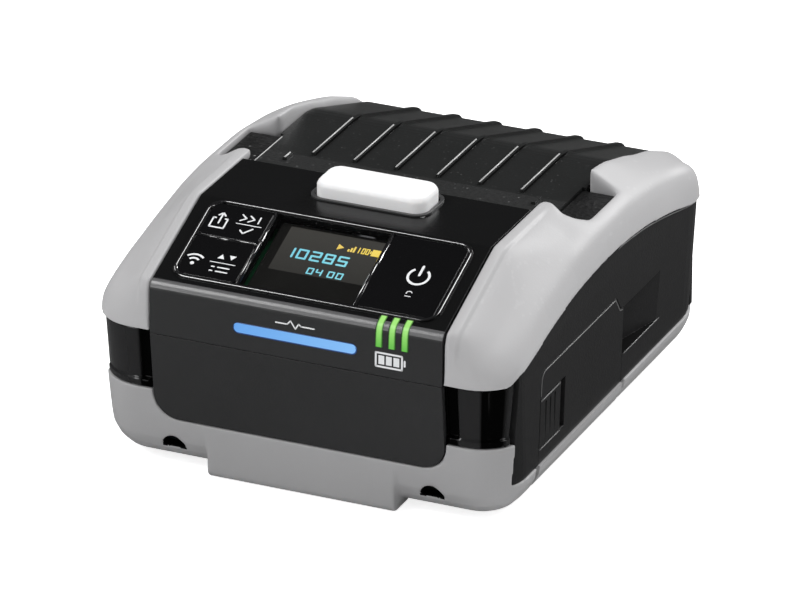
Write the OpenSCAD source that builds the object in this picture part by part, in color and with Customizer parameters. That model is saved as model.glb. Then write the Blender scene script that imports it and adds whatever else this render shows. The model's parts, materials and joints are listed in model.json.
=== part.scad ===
// Portable thermal label printer with a lift-up lid, a slide-out battery pack and a key panel.
// X runs left to right seen from the front, Y runs from front to back, Z points up.
// Pieces are drawn with y = 0 at the front face and then centred on the origin.

/* [Body] */
// Overall width
body_w = 88; // [84:1:94]
// Overall depth
body_d = 112; // [110:1:116]
// Height of the ridge of the upper bumpers
body_h = 49.3; // [48.8:0.1:50.5]
// Thickness of the outer shells
wall = 2.4; // [2:0.1:2.6]
// Height of the flat underside over the table
floor_z = 0.7; // [0.5:0.1:1]
// Radius of the bottom edge
base_r = 8; // [7:0.5:8.5]
// How much narrower each side is at the bottom
side_draft = 0.6; // [0.3:0.1:0.8]
// Radius of the upright front corners
corner_r = 9; // [8.5:0.5:10]
// Radius of the upright back corners
back_r = 20; // [17:0.5:21]
// Gap between neighbouring shells
seam = 0.15; // [0.1:0.05:0.2]

/* [Front] */
// Height of the parting line, where the front face is furthest forward
crest_z = 29.5; // [28:0.5:30.5]
// How far the front face falls back at the bottom
front_draft = 2.1; // [1.5:0.1:2.6]
// Height of the top of the lower case on the sides
base_z = 8; // [7.5:0.1:8.5]
// Height of the lower case at the front corners
corner_z = 17; // [15:0.5:18]
// Bottom of the lower front plate
plate_z = 11.3; // [10.5:0.1:12]
// Width of the bumper beside the control panel
bumper_w = 13.6; // [13.4:0.1:14]
// Half width of the chin
chin_hx = 19.7; // [16:0.5:22]
// Radius of the top front edge
brow_r = 2.2; // [1.8:0.1:2.6]
// Width of the status light
bar_w = 25.6; // [20:0.2:28]
// Height of the status light
bar_h = 2.05; // [1.6:0.05:2.4]
// Height of the middle of the status light
bar_z = 33.95; // [33.5:0.05:34.2]
// Width of one battery light
lamp_w = 1.34; // [1:0.02:1.6]
// Distance between battery lights
lamp_pitch = 2.66; // [2.4:0.02:3]

/* [Control panel] */
// Height of the foot of the sloped panel at its front
slope_z = 40.2; // [39.8:0.1:40.5]
// Where the slope would meet the front face
slope_y = 1.2; // [1:0.1:1.4]
// Where the slope meets the flat part
kink_y = 23.5; // [23:0.1:24]
// Height of the flat part
panel_z = 48.9; // [48.6:0.1:49]
// Back edge of the flat part
panel_end_y = 42.4; // [42.2:0.1:42.6]
// Thickness of the panel
panel_t = 1.8; // [1.6:0.1:1.9]
// Start and end of the rim along the slope
rim_s = [1.7, 23.6];
// Width of the rim
rim_w = 0.9; // [0.6:0.1:1]
// Height of the rim
rim_h = 0.35; // [0.2:0.05:0.5]
// Corner radius of the rim
rim_r = 3.5; // [2.5:0.1:4]
// Line between the two left keys, along the slope
key_split = 13.5; // [12.5:0.1:14]
// Running gap around the keys
key_gap = 0.15; // [0.1:0.05:0.25]
// Travel of the keys
key_travel = 0.4; // [0.3:0.05:0.45]

/* [Release button] */
// Half width of the button
button_hx = 11.6; // [10.5:0.1:12]
// Middle of the button
button_x = 1.2; // [0:0.1:1.4]
// Front and back of the button
button_y = [31, 40.8];
// Height of its top
button_z = 52.4; // [51.8:0.1:53]
// Travel of the button
button_travel = 1.5; // [1:0.1:1.5]

/* [Lid] */
// Height of the flat part of the lid
lid_z = 45; // [44.8:0.1:45.2]
// Front edge of the lid
lid_y = 47.6; // [47.4:0.1:47.8]
// Thickness of the lid
lid_t = 1.8; // [1.6:0.1:1.9]
// Angle of the falling part
fall_a = 18.5; // [18:0.1:19]
// Back of the cheeks
ear_end_y = 64.3; // [63:0.1:66]
// How far the cheeks lie below the lid
cheek_drop = 0.6; // [0.4:0.1:0.8]
// Number of ribs on the lid
ribs = 6; // [4:2:6]
// Distance between ribs
rib_pitch = 8.88; // [8:0.01:9.2]
// Width of a rib
rib_w = 0.9; // [0.6:0.1:1.2]
// Height of a rib
rib_h = 0.55; // [0.3:0.05:0.6]
// Front end of the ribs
rib_y = 57.4; // [56:0.1:60]
// Height of the hinge axis
hinge_z = 30.3; // [30:0.1:30.6]
// Radius of the hinge pin
pin_r = 1; // [0.9:0.05:1.1]

/* [Paper path] */
// Thickness of the well
well_t = 1.4; // [1.2:0.1:1.6]
// Platen centre, from the front and from the bottom
platen_y = 51.5; // [51.4:0.1:51.6]
// Height of the platen centre
platen_z = 38.3; // [38.2:0.1:38.4]
// Radius of the platen rubber
platen_r = 4.3; // [4.2:0.1:4.3]
// Radius of the platen shaft
shaft_r = 1.5; // [1.3:0.1:1.6]
// How far each media guide can move in
guide_travel = 10; // [6:1:12]

/* [Battery] */
// Front and back of the pack's outer cap
pack_y = [17.4, 58.4];
// Top of the outer cap
pack_z = 27.6; // [27:0.1:27.8]
// Length of a cell
cell_l = 50; // [48:0.5:50]
// Radius of a cell
cell_r = 9.2; // [8.5:0.1:9.3]
// Travel of the latch
latch_travel = 2; // [1:0.1:2]

/* [Gears] */
// Gear module
gear_m = 0.5; // [0.5:0.01:0.51]
// Teeth of the platen gear
platen_teeth = 14;
// Teeth of the idler gear
idler_teeth = 36;
// Teeth of the motor pinion
pinion_teeth = 12;
// Width of the gears
gear_w = 1.4; // [1.2:0.1:1.5]

/* [Hidden] */
$fn = 48;

eps = 0.01;
hw = body_w / 2;
panel_hx = hw - bumper_w;
rim_hx = panel_hx - 2.6;
key_x = 13.8 - rim_hx;
power_x = rim_hx - 17;
lamp_x = panel_hx - 10.34;
// Half width of the lid behind the cheeks and between them
lid_hx = panel_hx + 2.2;
lid_front_hx = lid_hx - 0.7;
// Half width over the cheeks
ear_hx = hw - 5.1;
well_hx = panel_hx;
platen_hx = panel_hx - 2.5;
hinge_y = body_d - 7.7;
// Where the lid starts to fall
bend_y = hinge_y - 25.8;
bay_wall = 1.2;
well_front = pack_y[1] + bay_wall + 0.4;
well_back = body_d - 12;
trough_r = (well_back - well_front) / 2 - well_t;
roll_y = (well_front + well_back) / 2;
deck = floor_z + wall;
slope_a = atan((panel_z - slope_z) / (kink_y - slope_y));
rim_len = rim_s[1] - rim_s[0];
// Free running clearance between moving pieces
run = 0.3;
// Radial clearance of a shaft in its bore
fit = 0.05;

light_grey = [0.76, 0.76, 0.77];
mid_grey = [0.55, 0.55, 0.56];
dark_grey = [0.2, 0.2, 0.2];
gloss_black = [0.04, 0.04, 0.045];
soft_black = [0.13, 0.135, 0.135];
steel = [0.7, 0.71, 0.73];
board_green = [0.08, 0.33, 0.2];

// Centres the drawing frame on the object's origin
module part() { translate([0, -body_d / 2, 0]) children(); }
// Extrudes an outline drawn in Y and Z between two values of X
module slab(x0, x1) { translate([x0, 0, 0]) rotate([90, 0, 90]) linear_extrude(x1 - x0) children(); }
// Extrudes an outline drawn in X and Z between two values of Y
module wallslab(y0, y1) { translate([0, y1, 0]) rotate([90, 0, 0]) linear_extrude(y1 - y0) children(); }
module block(x, y, z) { translate([x[0], y[0], z[0]]) cube([x[1] - x[0], y[1] - y[0], z[1] - z[0]]); }
module rod_x(r, x0, x1, y, z) { translate([x0, y, z]) rotate([0, 90, 0]) cylinder(r = r, h = x1 - x0); }
// Rounded rectangle made of exact pieces
module plate(x0, x1, y0, y1, r) {
    translate([x0 + r, y0]) square([x1 - x0 - 2 * r, y1 - y0]);
    translate([x0, y0 + r]) square([x1 - x0, y1 - y0 - 2 * r]);
    for (x = [x0 + r, x1 - r], y = [y0 + r, y1 - r]) translate([x, y]) circle(r);
}
module mirrored() { children(); mirror([1, 0, 0]) children(); }
function arc(c, r, a0, a1, n = 8) = [for (i = [0:n]) let(a = a0 + (a1 - a0) * i / n) c + r * [cos(a), sin(a)]];
module on_slope() { translate([0, slope_y, slope_z]) rotate([slope_a, 0, 0]) children(); }

// Outer form, drawn in by d on every side. One thin ring of the plan outline per height.
ridge_hx = hw - 11;
crease_hx = hw - 1;
shoulder_z = 33;
// Height of the edge under the lid's tail, where the back is furthest back
rear_top_z = 24.5;
bottom_steps = 5;
crease_front = 4.6;
// Side view of the ridge: brow, kink, flat, fall and tail
ridge = [[0.2, shoulder_z], [0.25, slope_z - 1.9], [1.1, slope_z + 0.1], [kink_y, panel_z + 0.3], [48, body_h],
    [64, body_h], [body_d - 40, body_h - 1], [body_d - 30.5, body_h - 3.6], [body_d - 20.6, body_h - 7.3], [body_d - 8, body_h - 12.3],
    [body_d - 2.6, body_h - 15.3], [body_d - 2.4, shoulder_z - 2.5]];
// Side view of the crease between the top and the side
crease = [[crease_front, shoulder_z], [10, 36], [20.4, 38.6], [30.7, 40.7], [41, 42.7], [52, 43.6], [64, 43.6],
    [body_d - 34.7, 42.1], [body_d - 25.3, 40.3], [body_d - 16, 38.2], [body_d - 13.5, shoulder_z]];
function inside(points, d) = [for (p = points) [p[0] + (p[0] < body_d / 2 ? d : -d), p[1] - d]];
module ring(z, front, side, back, r, r_back) {
    translate([0, 0, z]) linear_extrude(eps) for (s = [-1, 1]) {
        translate([s * (hw - side - r), front + r]) circle(r);
        translate([s * (hw - side - r_back), body_d - back - r_back]) circle(r_back);
    }
}
module outer(d = 0) {
    hull() {
        for (i = [0:bottom_steps]) {
            a = 90 * i / bottom_steps;
            inset = base_r - (base_r - d) * sin(a);
            ring(floor_z + base_r - (base_r - d) * cos(a), front_draft + inset, side_draft + inset, side_draft + 1 + inset,
                corner_r + 0.5 - inset, back_r - inset);
        }
        ring(rear_top_z - eps, front_draft + d, side_draft + d, d - side_drop, corner_r - d, back_r - d);
        ring(crest_z, d, d, d, corner_r - d, back_r - d);
        ring(shoulder_z, 0.1 + d, d, 0.5 + d, corner_r - d, back_r - d);
        slab(-crease_hx + d, crease_hx - d) polygon(concat(inside(crease, d), [[body_d / 2, base_z + d]]));
        slab(-ridge_hx + d / 2, ridge_hx - d / 2) polygon(concat(inside(ridge, d), [[body_d / 2, base_z + d]]));
    }
}

// Lower edge of the upper bumpers, seen from the side
bumper_edge = [[-2, crest_z + 0.2], [4, crest_z + 0.4], [6.8, 31.5], [16.4, 33.6], [21.2, 35], [35, 37.2],
    [50, 38.1], [body_d - 51, 37.7], [body_d - 41, 36.7], [body_d - 30.5, 34.8], [body_d - 19, 32.2], [body_d + 2, 28.5]];
module above_edge(gap) {
    polygon(concat([for (p = bumper_edge) p + [0, gap]], [[body_d + 2, body_h + 9], [-2, body_h + 9]]));
}
// Plan of the notch in which the lid's ear lies, grown by gap
module ear_plan(gap) {
    polygon([[0, lid_y - gap], [33, lid_y + 0.2 - gap], [35.4, lid_y - 0.8 - gap], [37.4, lid_y + 0.5 - gap],
        [ear_hx + gap, lid_y + 3 - gap], [ear_hx + gap, ear_end_y + gap], [lid_hx + gap, ear_end_y + gap],
        [lid_hx + gap, body_d + 2], [0, body_d + 2]]);
}
side_start = 7;
pillar_drop = 0.7;
side_drop = 0.5;

// Plan of the front plate's rounded outline, in X and Z
plate_r = 5;
module plate_outline(gap) {
    difference() {
        plate(-panel_hx - gap, panel_hx + gap, plate_z - gap, crest_z + 9, plate_r + gap);
        translate([-hw, crest_z - seam / 2 + gap]) square([body_w, 12]);
    }
}
arch_x = hw - 16.9;
arch_r = 2.4;
arch_z = 4.7;
boss_x = hw - 8.8;
boss_y = [12.9, body_d - 14];
boss_r = 3;
foot_x = hw - 18;
foot_y = body_d - 15;
foot_r = 4.5;
screw_r = 1.4;
head_r = 2.4;
head_deep = 1.7;
boss_h = 10;
port_y = [body_d - 46, body_d - 20];
port_z = [12, 24];
pack_cap_x = hw - 3.8;
bay_x = pack_cap_x - 54.4;
// Outline of the battery cap in Y and Z, with its stepped back corner
step_y = pack_y[1] - 4;
step_z = 24.1;
module pack_outline(gap, bottom) {
    polygon(concat([[pack_y[1] + gap, bottom], [pack_y[1] + gap, step_z + gap], [step_y + 2.4 + gap, step_z + 0.3 + gap],
        [step_y + gap, pack_z + gap]], arc([pack_y[0] + 2.2, pack_z - 2.2], 2.2 + gap, 90, 180),
        [[pack_y[0] - gap, bottom]]));
}

module lower_case() part() color(mid_grey) {
    difference() {
        union() {
            difference() {
                outer(0);
                outer(wall);
                translate([-hw, side_start, base_z]) cube([body_w, body_d, body_h]);
                translate([-hw, -1, corner_z]) cube([body_w, body_d, body_h]);
            }
            for (s = [-1, 1], y = boss_y) translate([s * boss_x, y, deck - 1]) cylinder(r = boss_r, h = base_z - deck + 1);
            slab(-chin_hx, chin_hx) chin_outline();
            for (s = [-1, 1]) translate([s * foot_x, foot_y, 0]) cylinder(r = foot_r, h = floor_z + 1);
        }
        wallslab(-2, side_start - 1) plate_outline(seam);
        for (s = [-1, 1]) translate([s * arch_x, 0, arch_z]) {
            rotate([90, 0, 0]) translate([0, 0, -7]) intersection() {
                cylinder(r = arch_r, h = 9);
                translate([-5, 0, 0]) cube([10, 5, 9]);
            }
        }
        for (s = [-1, 1], y = boss_y) translate([s * boss_x, y, -1]) {
            cylinder(r = screw_r + 0.2, h = base_z + 2);
            cylinder(r = head_r + 0.1, h = floor_z + head_deep + 1);
        }
        slab(pack_cap_x - seam, hw + 1) pack_outline(seam, -1);
        block([hw - 19, hw + 1], [pack_y[0] - bay_wall - seam, pack_y[1] + bay_wall + seam], [deck, base_z + 1]);
    }
}
chin_back = 9;
module chin_outline() {
    polygon(concat([[chin_back, plate_z - seam], [1.85, plate_z - seam], [2.05, 1.6]], arc([3.55, 1.5], 1.5, 180, 270, 5),
        [[chin_back, 0]]));
}

scoop_z = [14, 24.2];
scoop_y = [pack_y[1] + 0.8, pack_y[1] + 19.6];
scoop_x = hw - 3.7;
module middle_case() part() color(dark_grey) {
    difference() {
        union() {
            difference() {
                outer(side_drop);
                outer(side_drop + wall - 0.3);
                translate([-hw, -1, -1]) cube([body_w, body_d + 2, base_z + 1]);
                translate([-hw, -1, -1]) cube([body_w, side_start + 1, body_h + 9]);
                slab(-hw, hw) above_edge(-seam);
                block([-lid_hx - seam, lid_hx + seam], [body_d - 6, body_d + 1], [rear_top_z, body_h]);
            }
            for (s = [-1, 1], y = boss_y) {
                translate([s * boss_x, y, base_z]) cylinder(r = boss_r, h = boss_h);
                mirror([s > 0 ? 0 : 1, 0, 0]) block([boss_x + boss_r - 0.4, hw - side_draft - side_drop - 1.2],
                    [y - 0.6, y + 0.6], [base_z, base_z + boss_h]);
            }
            block([scoop_x - 1.6, hw - side_drop - 0.9], [scoop_y[0] + 0.8, scoop_y[1] + 2], [scoop_z[0] - 1.4, scoop_z[1] + 1.4]);
        }
        for (s = [-1, 1], y = boss_y) translate([s * boss_x, y, base_z - 1]) cylinder(r = screw_r - 0.1, h = 9.5);
        slab(pack_cap_x - seam, hw + 1) pack_outline(seam, -1);
        translate([0, 0, scoop_z[0]]) linear_extrude(scoop_z[1] - scoop_z[0])
            polygon([[hw + 1, scoop_y[0] - 1.4], [scoop_x, scoop_y[0] - 1.4], [scoop_x, scoop_y[0] + 5],
                [hw - side_drop, scoop_y[1]], [hw + 1, scoop_y[1]]]);
        block([-hw - 1, -hw + 4], [port_y[0] - seam, port_y[1] + seam], [port_z[0] - seam, port_z[1] + seam]);
    }
}

module side_cheeks() part() color(soft_black) mirrored() {
    intersection() {
        linear_extrude(body_h) difference() {
            ear_plan(0);
            square([lid_front_hx + run, body_d]);
        }
        block([0, hw], [0, ear_end_y], [lid_z - lid_t - cheek_drop, lid_z - cheek_drop]);
    }
    wallslab(lid_y + 4, ear_end_y - 2) polygon([[ear_hx - 1.4, lid_z - lid_t], [ear_hx, lid_z - lid_t], [ear_hx, 35.4],
        [hw - side_drop - wall - 0.1, 35.4], [hw - side_drop - wall - 0.1, 34], [ear_hx - 1.4, 34]]);
}

module pillar(s) {
    intersection() {
        difference() {
            outer(pillar_drop);
            outer(pillar_drop + wall);
        }
        slab(s > 0 ? panel_hx + seam : -hw, s > 0 ? hw : -panel_hx - seam) difference() {
            translate([-1, corner_z]) square([side_start, body_h - corner_z]);
            above_edge(-seam / 2);
        }
    }
}
module left_corner_pillar() part() color(gloss_black) pillar(-1);
module right_corner_pillar() part() color(gloss_black) pillar(1);

plate_t = 1.9;
module front_plate() part() color(dark_grey) {
    intersection() {
        slab(-panel_hx, panel_hx) polygon([[front_draft * (crest_z - plate_z) / (crest_z - base_z) + 0.02, plate_z],
            [0.02, crest_z - seam / 2], [plate_t, crest_z - seam / 2], [plate_t + front_draft, plate_z]]);
        wallslab(-1, 6) plate_outline(0);
    }
}

brow_c = [0.25 + brow_r, slope_z + (0.25 + brow_r - slope_y) * tan(slope_a) - brow_r / cos(slope_a)];
brow_end = brow_c + brow_r * [-sin(slope_a), cos(slope_a)];
function front_line(t) = concat([[t, crest_z + seam / 2], [0.25 + t, brow_c[1]]],
    arc(brow_c, brow_r - t, 180, 90 + slope_a));
module front_cover() part() color(dark_grey) {
    difference() {
        slab(-panel_hx, panel_hx) polygon(concat(front_line(0), [for (i = [9:-1:0]) front_line(plate_t)[i]]));
        wallslab(-1, 5) plate(-bar_w / 2 - seam / 2, bar_w / 2 + seam / 2, bar_z - bar_h / 2 - seam / 2,
            bar_z + bar_h / 2 + seam / 2, bar_h / 2);
        lamp_slots(lamp_w + seam, -1, seam / 2);
    }
}
lamp_bottom = 35.5;
lamp_top_s = 2;
// The three lights as strips that bend over the brow, between outline depth and surface
module lamp_slots(w, out, gap) {
    for (i = [-1, 0, 1]) slab(lamp_x + i * lamp_pitch - w / 2, lamp_x + i * lamp_pitch + w / 2)
        polygon(concat([[out, lamp_bottom - gap], [0.2 + min(out, 0), brow_c[1]]], arc(brow_c, brow_r - out, 180, 90 + slope_a),
            [lamp_end(out, gap), lamp_end(2.2, gap)], [brow_c + [-0.1, 0]], [[2.3, lamp_bottom - gap]]));
}
function lamp_end(depth, gap) = brow_end + (lamp_top_s + gap) * [cos(slope_a), sin(slope_a)]
    - depth * [-sin(slope_a), cos(slope_a)];

bumper_inner_x = panel_hx + seam;
module upper_bumper(s) {
    x0 = s > 0 ? bumper_inner_x : -hw - 1;
    x1 = s > 0 ? hw + 1 : -bumper_inner_x;
    difference() {
        intersection() {
            outer(0);
            slab(x0, x1) above_edge(seam / 2);
        }
        difference() {
            outer(wall);
            mirror([s > 0 ? 0 : 1, 0, 0]) slab(lid_hx + 0.35, lid_hx + 1.7)
                polygon(concat([[ear_end_y + 0.5, 70], [ear_end_y + 0.5, lid_z - 4], [bend_y, lid_z - 4]],
                    [[body_d - 6, lid_z - 14], [body_d, lid_z - 14], [body_d, 70]]));
        }
        mirror([s > 0 ? 0 : 1, 0, 0]) translate([0, 0, crest_z - 2]) linear_extrude(30) ear_plan(0.35);
    }
}
module left_upper_bumper() part() color(light_grey) upper_bumper(-1);
module right_upper_bumper() part() color(light_grey) upper_bumper(1);

pocket_z = 44;
pocket_t = 1;
pocket_gap = 0.4;
leg_x = 7.5;
leg_r = 1.25;
leg_y = 36.4;
plunger_y = 33.4;
plunger_r = 1.6;
// Panel outline in Y and Z, with a lower skin t below the upper one
function panel_line(t) = [brow_end + [0.05, 0] + t * [sin(slope_a), -cos(slope_a)],
    [kink_y + t * tan(slope_a / 2), panel_z - t], [panel_end_y, panel_z - t]];
function reversed(list) = [for (i = [len(list) - 1:-1:0]) list[i]];
module control_panel() part() color(gloss_black) {
    difference() {
        union() {
            slab(-panel_hx, panel_hx) polygon(concat(panel_line(0), reversed(panel_line(panel_t))));
            on_slope() translate([0, 0, -0.5]) linear_extrude(rim_h + 0.5) difference() {
                plate(-rim_hx, rim_hx, rim_s[0], rim_s[1], rim_r);
                plate(-rim_hx + rim_w, rim_hx - rim_w, rim_s[0] + rim_w, rim_s[1] - rim_w, rim_r - rim_w);
            }
            block([button_x - button_hx - 1.7, button_x + button_hx + 1.7], [button_y[0] - 1.7, panel_end_y], [pocket_z, panel_z - 1]);
        }
        block([button_x - button_hx - pocket_gap, button_x + button_hx + pocket_gap],
            [button_y[0] - pocket_gap, button_y[1] + pocket_gap], [pocket_z + pocket_t, panel_z + 1]);
        for (s = [-1, 1]) translate([button_x + s * leg_x, leg_y, pocket_z - 1]) cylinder(r = leg_r + 0.1, h = 4);
        translate([0, plunger_y, pocket_z - 1]) cylinder(r = plunger_r + 0.1, h = 4);
        on_slope() translate([0, 0, -5]) linear_extrude(10) panel_windows();
        lamp_slots(lamp_w + seam, -1, seam / 2);
    }
}
module panel_windows() {
    a = rim_s[0] + rim_w + 0.1;
    b = rim_s[1] - rim_w - 0.1;
    e = rim_hx - rim_w - 0.1;
    plate(-e, key_x, a, key_split - 0.2, 1);
    plate(-e, key_x, key_split + 0.2, b, 1);
    plate(key_x + 0.5, power_x - 0.3, a, b, 0.5);
    plate(power_x, e, a, b, 1);
}
module in_window(x0, x1, s0, s1, r, gap) { plate(x0 + gap, x1 - gap, s0 + gap, s1 - gap, r); }
win_a = rim_s[0] + rim_w + 0.1;
win_b = rim_s[1] - rim_w - 0.1;
win_e = rim_hx - rim_w - 0.1;

board_depth = 4.4;
board_t = 1;
module key_cap(x0, x1, s0, s1) {
    on_slope() {
        translate([0, 0, -panel_t - 0.2]) linear_extrude(panel_t + 0.3) in_window(x0, x1, s0, s1, 0.85, key_gap);
        translate([0, 0, -panel_t - 0.8]) linear_extrude(0.7) in_window(x0 - 0.15, x1 + 0.15, s0 + 0.4, s1 - 0.4, 0.5, 0);
        translate([(x0 + x1) / 2, (s0 + s1) / 2, -board_depth + 1.3]) cylinder(r = 1, h = 1.5);
    }
}
module feed_key() part() color(gloss_black) key_cap(-win_e, key_x, key_split + 0.2, win_b);
module select_key() part() color(gloss_black) key_cap(-win_e, key_x, win_a, key_split - 0.2);
module power_key() part() color(gloss_black) key_cap(power_x, win_e, win_a, win_b);
module key_switches() part() color(steel) on_slope()
    for (p = [[(key_x - win_e) / 2, (win_b + key_split + 0.2) / 2], [(key_x - win_e) / 2, (win_a + key_split - 0.2) / 2],
        [(power_x + win_e) / 2, (win_a + win_b) / 2]])
        translate([p[0], p[1], -board_depth]) {
            translate([-2.2, -2.2, 0]) cube([4.4, 4.4, 0.5]);
            cylinder(r = 1.3, h = 0.8);
        }
module display_window() part() color([0.1, 0.1, 0.1, 0.6]) on_slope()
    translate([0, 0, -panel_t + 0.3]) linear_extrude(panel_t - 0.35) in_window(key_x + 0.5, power_x - 0.3, win_a, win_b, 0.4, seam / 2);
module display_module() part() color([0.24, 0.24, 0.2]) on_slope()
    translate([0, 0, -board_depth + 0.02]) linear_extrude(board_depth - panel_t + 0.2) plate(key_x + 1.5, power_x - 0.6, 4.2, 22, 0.3);
module key_board() part() color(board_green) on_slope()
    translate([0, 0, -board_depth - board_t]) linear_extrude(board_t) plate(-rim_hx, rim_hx, 3, win_b, 0.5);

light_board_y = 4.7;
module status_light_bar() part() color([0.49, 0.72, 0.94]) wallslab(0.05, light_board_y)
    plate(-bar_w / 2, bar_w / 2, bar_z - bar_h / 2, bar_z + bar_h / 2, bar_h / 2 - seam / 2);
module battery_lights() part() color([0.65, 0.9, 0.5]) difference() {
    lamp_slots(lamp_w, 0.02, 0);
    block([-hw, hw], [brow_c[0] - 0.1, 5], [0, brow_c[1] - 0.3]);
}
module light_board() part() color(board_green) {
    wallslab(light_board_y, light_board_y + board_t) plate(6.4 - panel_hx, panel_hx - 6.4, 30.2, 35.4, 0.4);
    for (x = [lamp_x - lamp_pitch, lamp_x, lamp_x + lamp_pitch])
        block([x - 0.6, x + 0.6], [light_board_y - 0.6, light_board_y + 0.2], [33.6, 35]);
}

button_ceiling = button_z - 1.6;
button_bottom = panel_z - 1.7;
module release_button() part() color([0.95, 0.95, 0.95]) {
    translate([button_x, 0, 0]) difference() {
        hull() {
            for (x = [-button_hx + 2.8, button_hx - 2.8], y = [button_y[0] + 2.8, button_y[1] - 2.8]) {
                translate([x, y, button_bottom]) cylinder(r = 2.8, h = button_z - 1.1 - button_bottom, $fn = 32);
                translate([x, y, button_z - 0.4]) cylinder(r = 2.3, h = 0.1, $fn = 32);
                translate([x, y, button_z - 0.1]) cylinder(r = 1.6, h = 0.1, $fn = 32);
            }
        }
        block([-button_hx + 1.6, button_hx - 1.6], [button_y[0] + 1.6, button_y[1] - 1.6], [button_bottom - 1, button_ceiling]);
    }
    for (s = [-1, 1]) translate([button_x + s * leg_x, leg_y, pocket_z - 0.6])
        cylinder(r = leg_r, h = button_ceiling - pocket_z + 1);
    translate([0, plunger_y, yoke_pad_z + pad_gap]) cylinder(r = plunger_r, h = button_ceiling - yoke_pad_z - pad_gap + 0.4);
}
collar_w = 0.55;
module button_collar() part() color([0.5, 0.5, 0.5]) translate([button_x, 0, panel_z]) linear_extrude(0.35) difference() {
    plate(-button_hx - pocket_gap - collar_w, button_hx + pocket_gap + collar_w, button_y[0] - pocket_gap - collar_w,
        min(button_y[1] + pocket_gap + collar_w, panel_end_y - 0.1), 3.2);
    plate(-button_hx - 0.3, button_hx + 0.3, button_y[0] - 0.3, button_y[1] + 0.3, 2.9);
}

// Helix of a wire: one closed tube swept along its turns
module helix(r, wire, h, turns, sides = 6, steps = 8) {
    n = turns * steps;
    rings = [for (i = [0:n]) let(a = 360 * i / steps, z = wire + (h - 2 * wire) * i / n)
        [for (k = [0:sides - 1]) let(b = 360 * k / sides, q = r + wire * cos(b)) [q * cos(a), q * sin(a), z + wire * sin(b)]]];
    points = [for (q = rings) for (p = q) p];
    sides_f = [for (i = [0:n - 1]) for (k = [0:sides - 1]) let(j = (k + 1) % sides)
        each [[i * sides + k, (i + 1) * sides + k, (i + 1) * sides + j], [i * sides + k, (i + 1) * sides + j, i * sides + j]]];
    ends = concat([for (k = [1:sides - 2]) [0, k, k + 1]], [for (k = [1:sides - 2]) [n * sides, n * sides + k + 1, n * sides + k]]);
    polyhedron(points, concat(sides_f, ends), convexity = 10);
}
spring_wire = 0.22;
module button_springs() part() color(steel) for (s = [-1, 1])
    translate([button_x + s * leg_x, leg_y, pocket_z + pocket_t + 0.05])
        helix(leg_r + 0.75, spring_wire, button_ceiling - pocket_z - pocket_t - 0.1, 5);

yoke_y = 40;
yoke_z = 31.8;
yoke_pad_z = 42;
pad_gap = 0.5;
yoke_tube_r = 2;
hook_x = [panel_hx - 1, panel_hx - 0.3];
module latch_yoke() part() color(steel) {
    rod_x(yoke_tube_r, -hook_x[1], hook_x[1], yoke_y, yoke_z);
    mirrored() slab(hook_x[0], hook_x[1])
        polygon([[yoke_y - 1.6, yoke_z - 1], [yoke_y + 2, yoke_z - 0.6], [platen_y - 4.2, platen_z - 2.6],
            [platen_y - 3.2, platen_z + 1.6], [platen_y - shaft_r - 0.5, platen_z + 1.8],
            [platen_y - shaft_r - 0.5, platen_z + 2.2], [platen_y - 3.2, platen_z + 2.7], [platen_y - 4.8, platen_z + 2.7], [yoke_y - 1.4, yoke_z + 1]]);
    slab(-2.6, 2.6) polygon([[yoke_y - 1.8, yoke_z - 0.6], [yoke_y + 1, yoke_z + 1.6], [plunger_y + 2.4, yoke_pad_z],
        [plunger_y - 1.8, yoke_pad_z], [plunger_y - 1.8, yoke_pad_z - 1.2], [plunger_y + 1, yoke_pad_z - 1.6]]);
}
plate_x = [0.3 - panel_hx, 0.9 - panel_hx];

// Top line of the lid in Y and Z at depth t, from the front to the end of the rolled back edge
roll_edge_r = (lid_z - (hinge_y - bend_y) * tan(fall_a) - hinge_z) * cos(fall_a);
roll_end_a = -35;
tick_x = lid_front_hx - 5.5;
bend_soft = 2.6;
function lid_line(t, y0) = concat([[y0, lid_z - t]],
    [for (k = [-1, -0.4, 0.4, 1]) [bend_y - t * tan(fall_a / 2) + k * bend_soft,
        lid_z - t - max(k, 0) * bend_soft * tan(fall_a) - (1 - abs(k)) * bend_soft * tan(fall_a) * 0.28]],
    arc([hinge_y, hinge_z], roll_edge_r - t, 90 - fall_a, roll_end_a, 12));
module lid_cover() part() color(soft_black) {
    intersection() {
        slab(-lid_hx - 1, lid_hx + 1) polygon(concat([[lid_y, lid_z - 2.6]], lid_line(0, lid_y + 0.3), reversed(lid_line(lid_t, lid_y + 1.5)),
            [[lid_y + 1.5, lid_z - 2.6]]));
        linear_extrude(body_h + 5) {
            translate([-lid_front_hx, 0]) square([2 * lid_front_hx, body_d]);
            translate([-lid_hx, ear_end_y + run]) square([2 * lid_hx, body_d]);
        }
    }
    mirrored() block([tick_x - rib_w / 2, tick_x + rib_w / 2], [lid_y + 5.5, lid_y + 8.5], [lid_z - 0.2, lid_z + rib_h]);
    for (i = [0:ribs - 1]) {
        x = (i - (ribs - 1) / 2) * rib_pitch;
        slab(x - rib_w / 2, x + rib_w / 2) difference() {
            polygon(concat(lid_line(-rib_h, rib_y), reversed(lid_line(lid_t / 2, rib_y))));
            translate([hinge_y, 0]) square([20, hinge_z + 2.4]);
            translate([hinge_y - 9, 0]) square([10, hinge_z + 3]);
        }
    }
}

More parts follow.
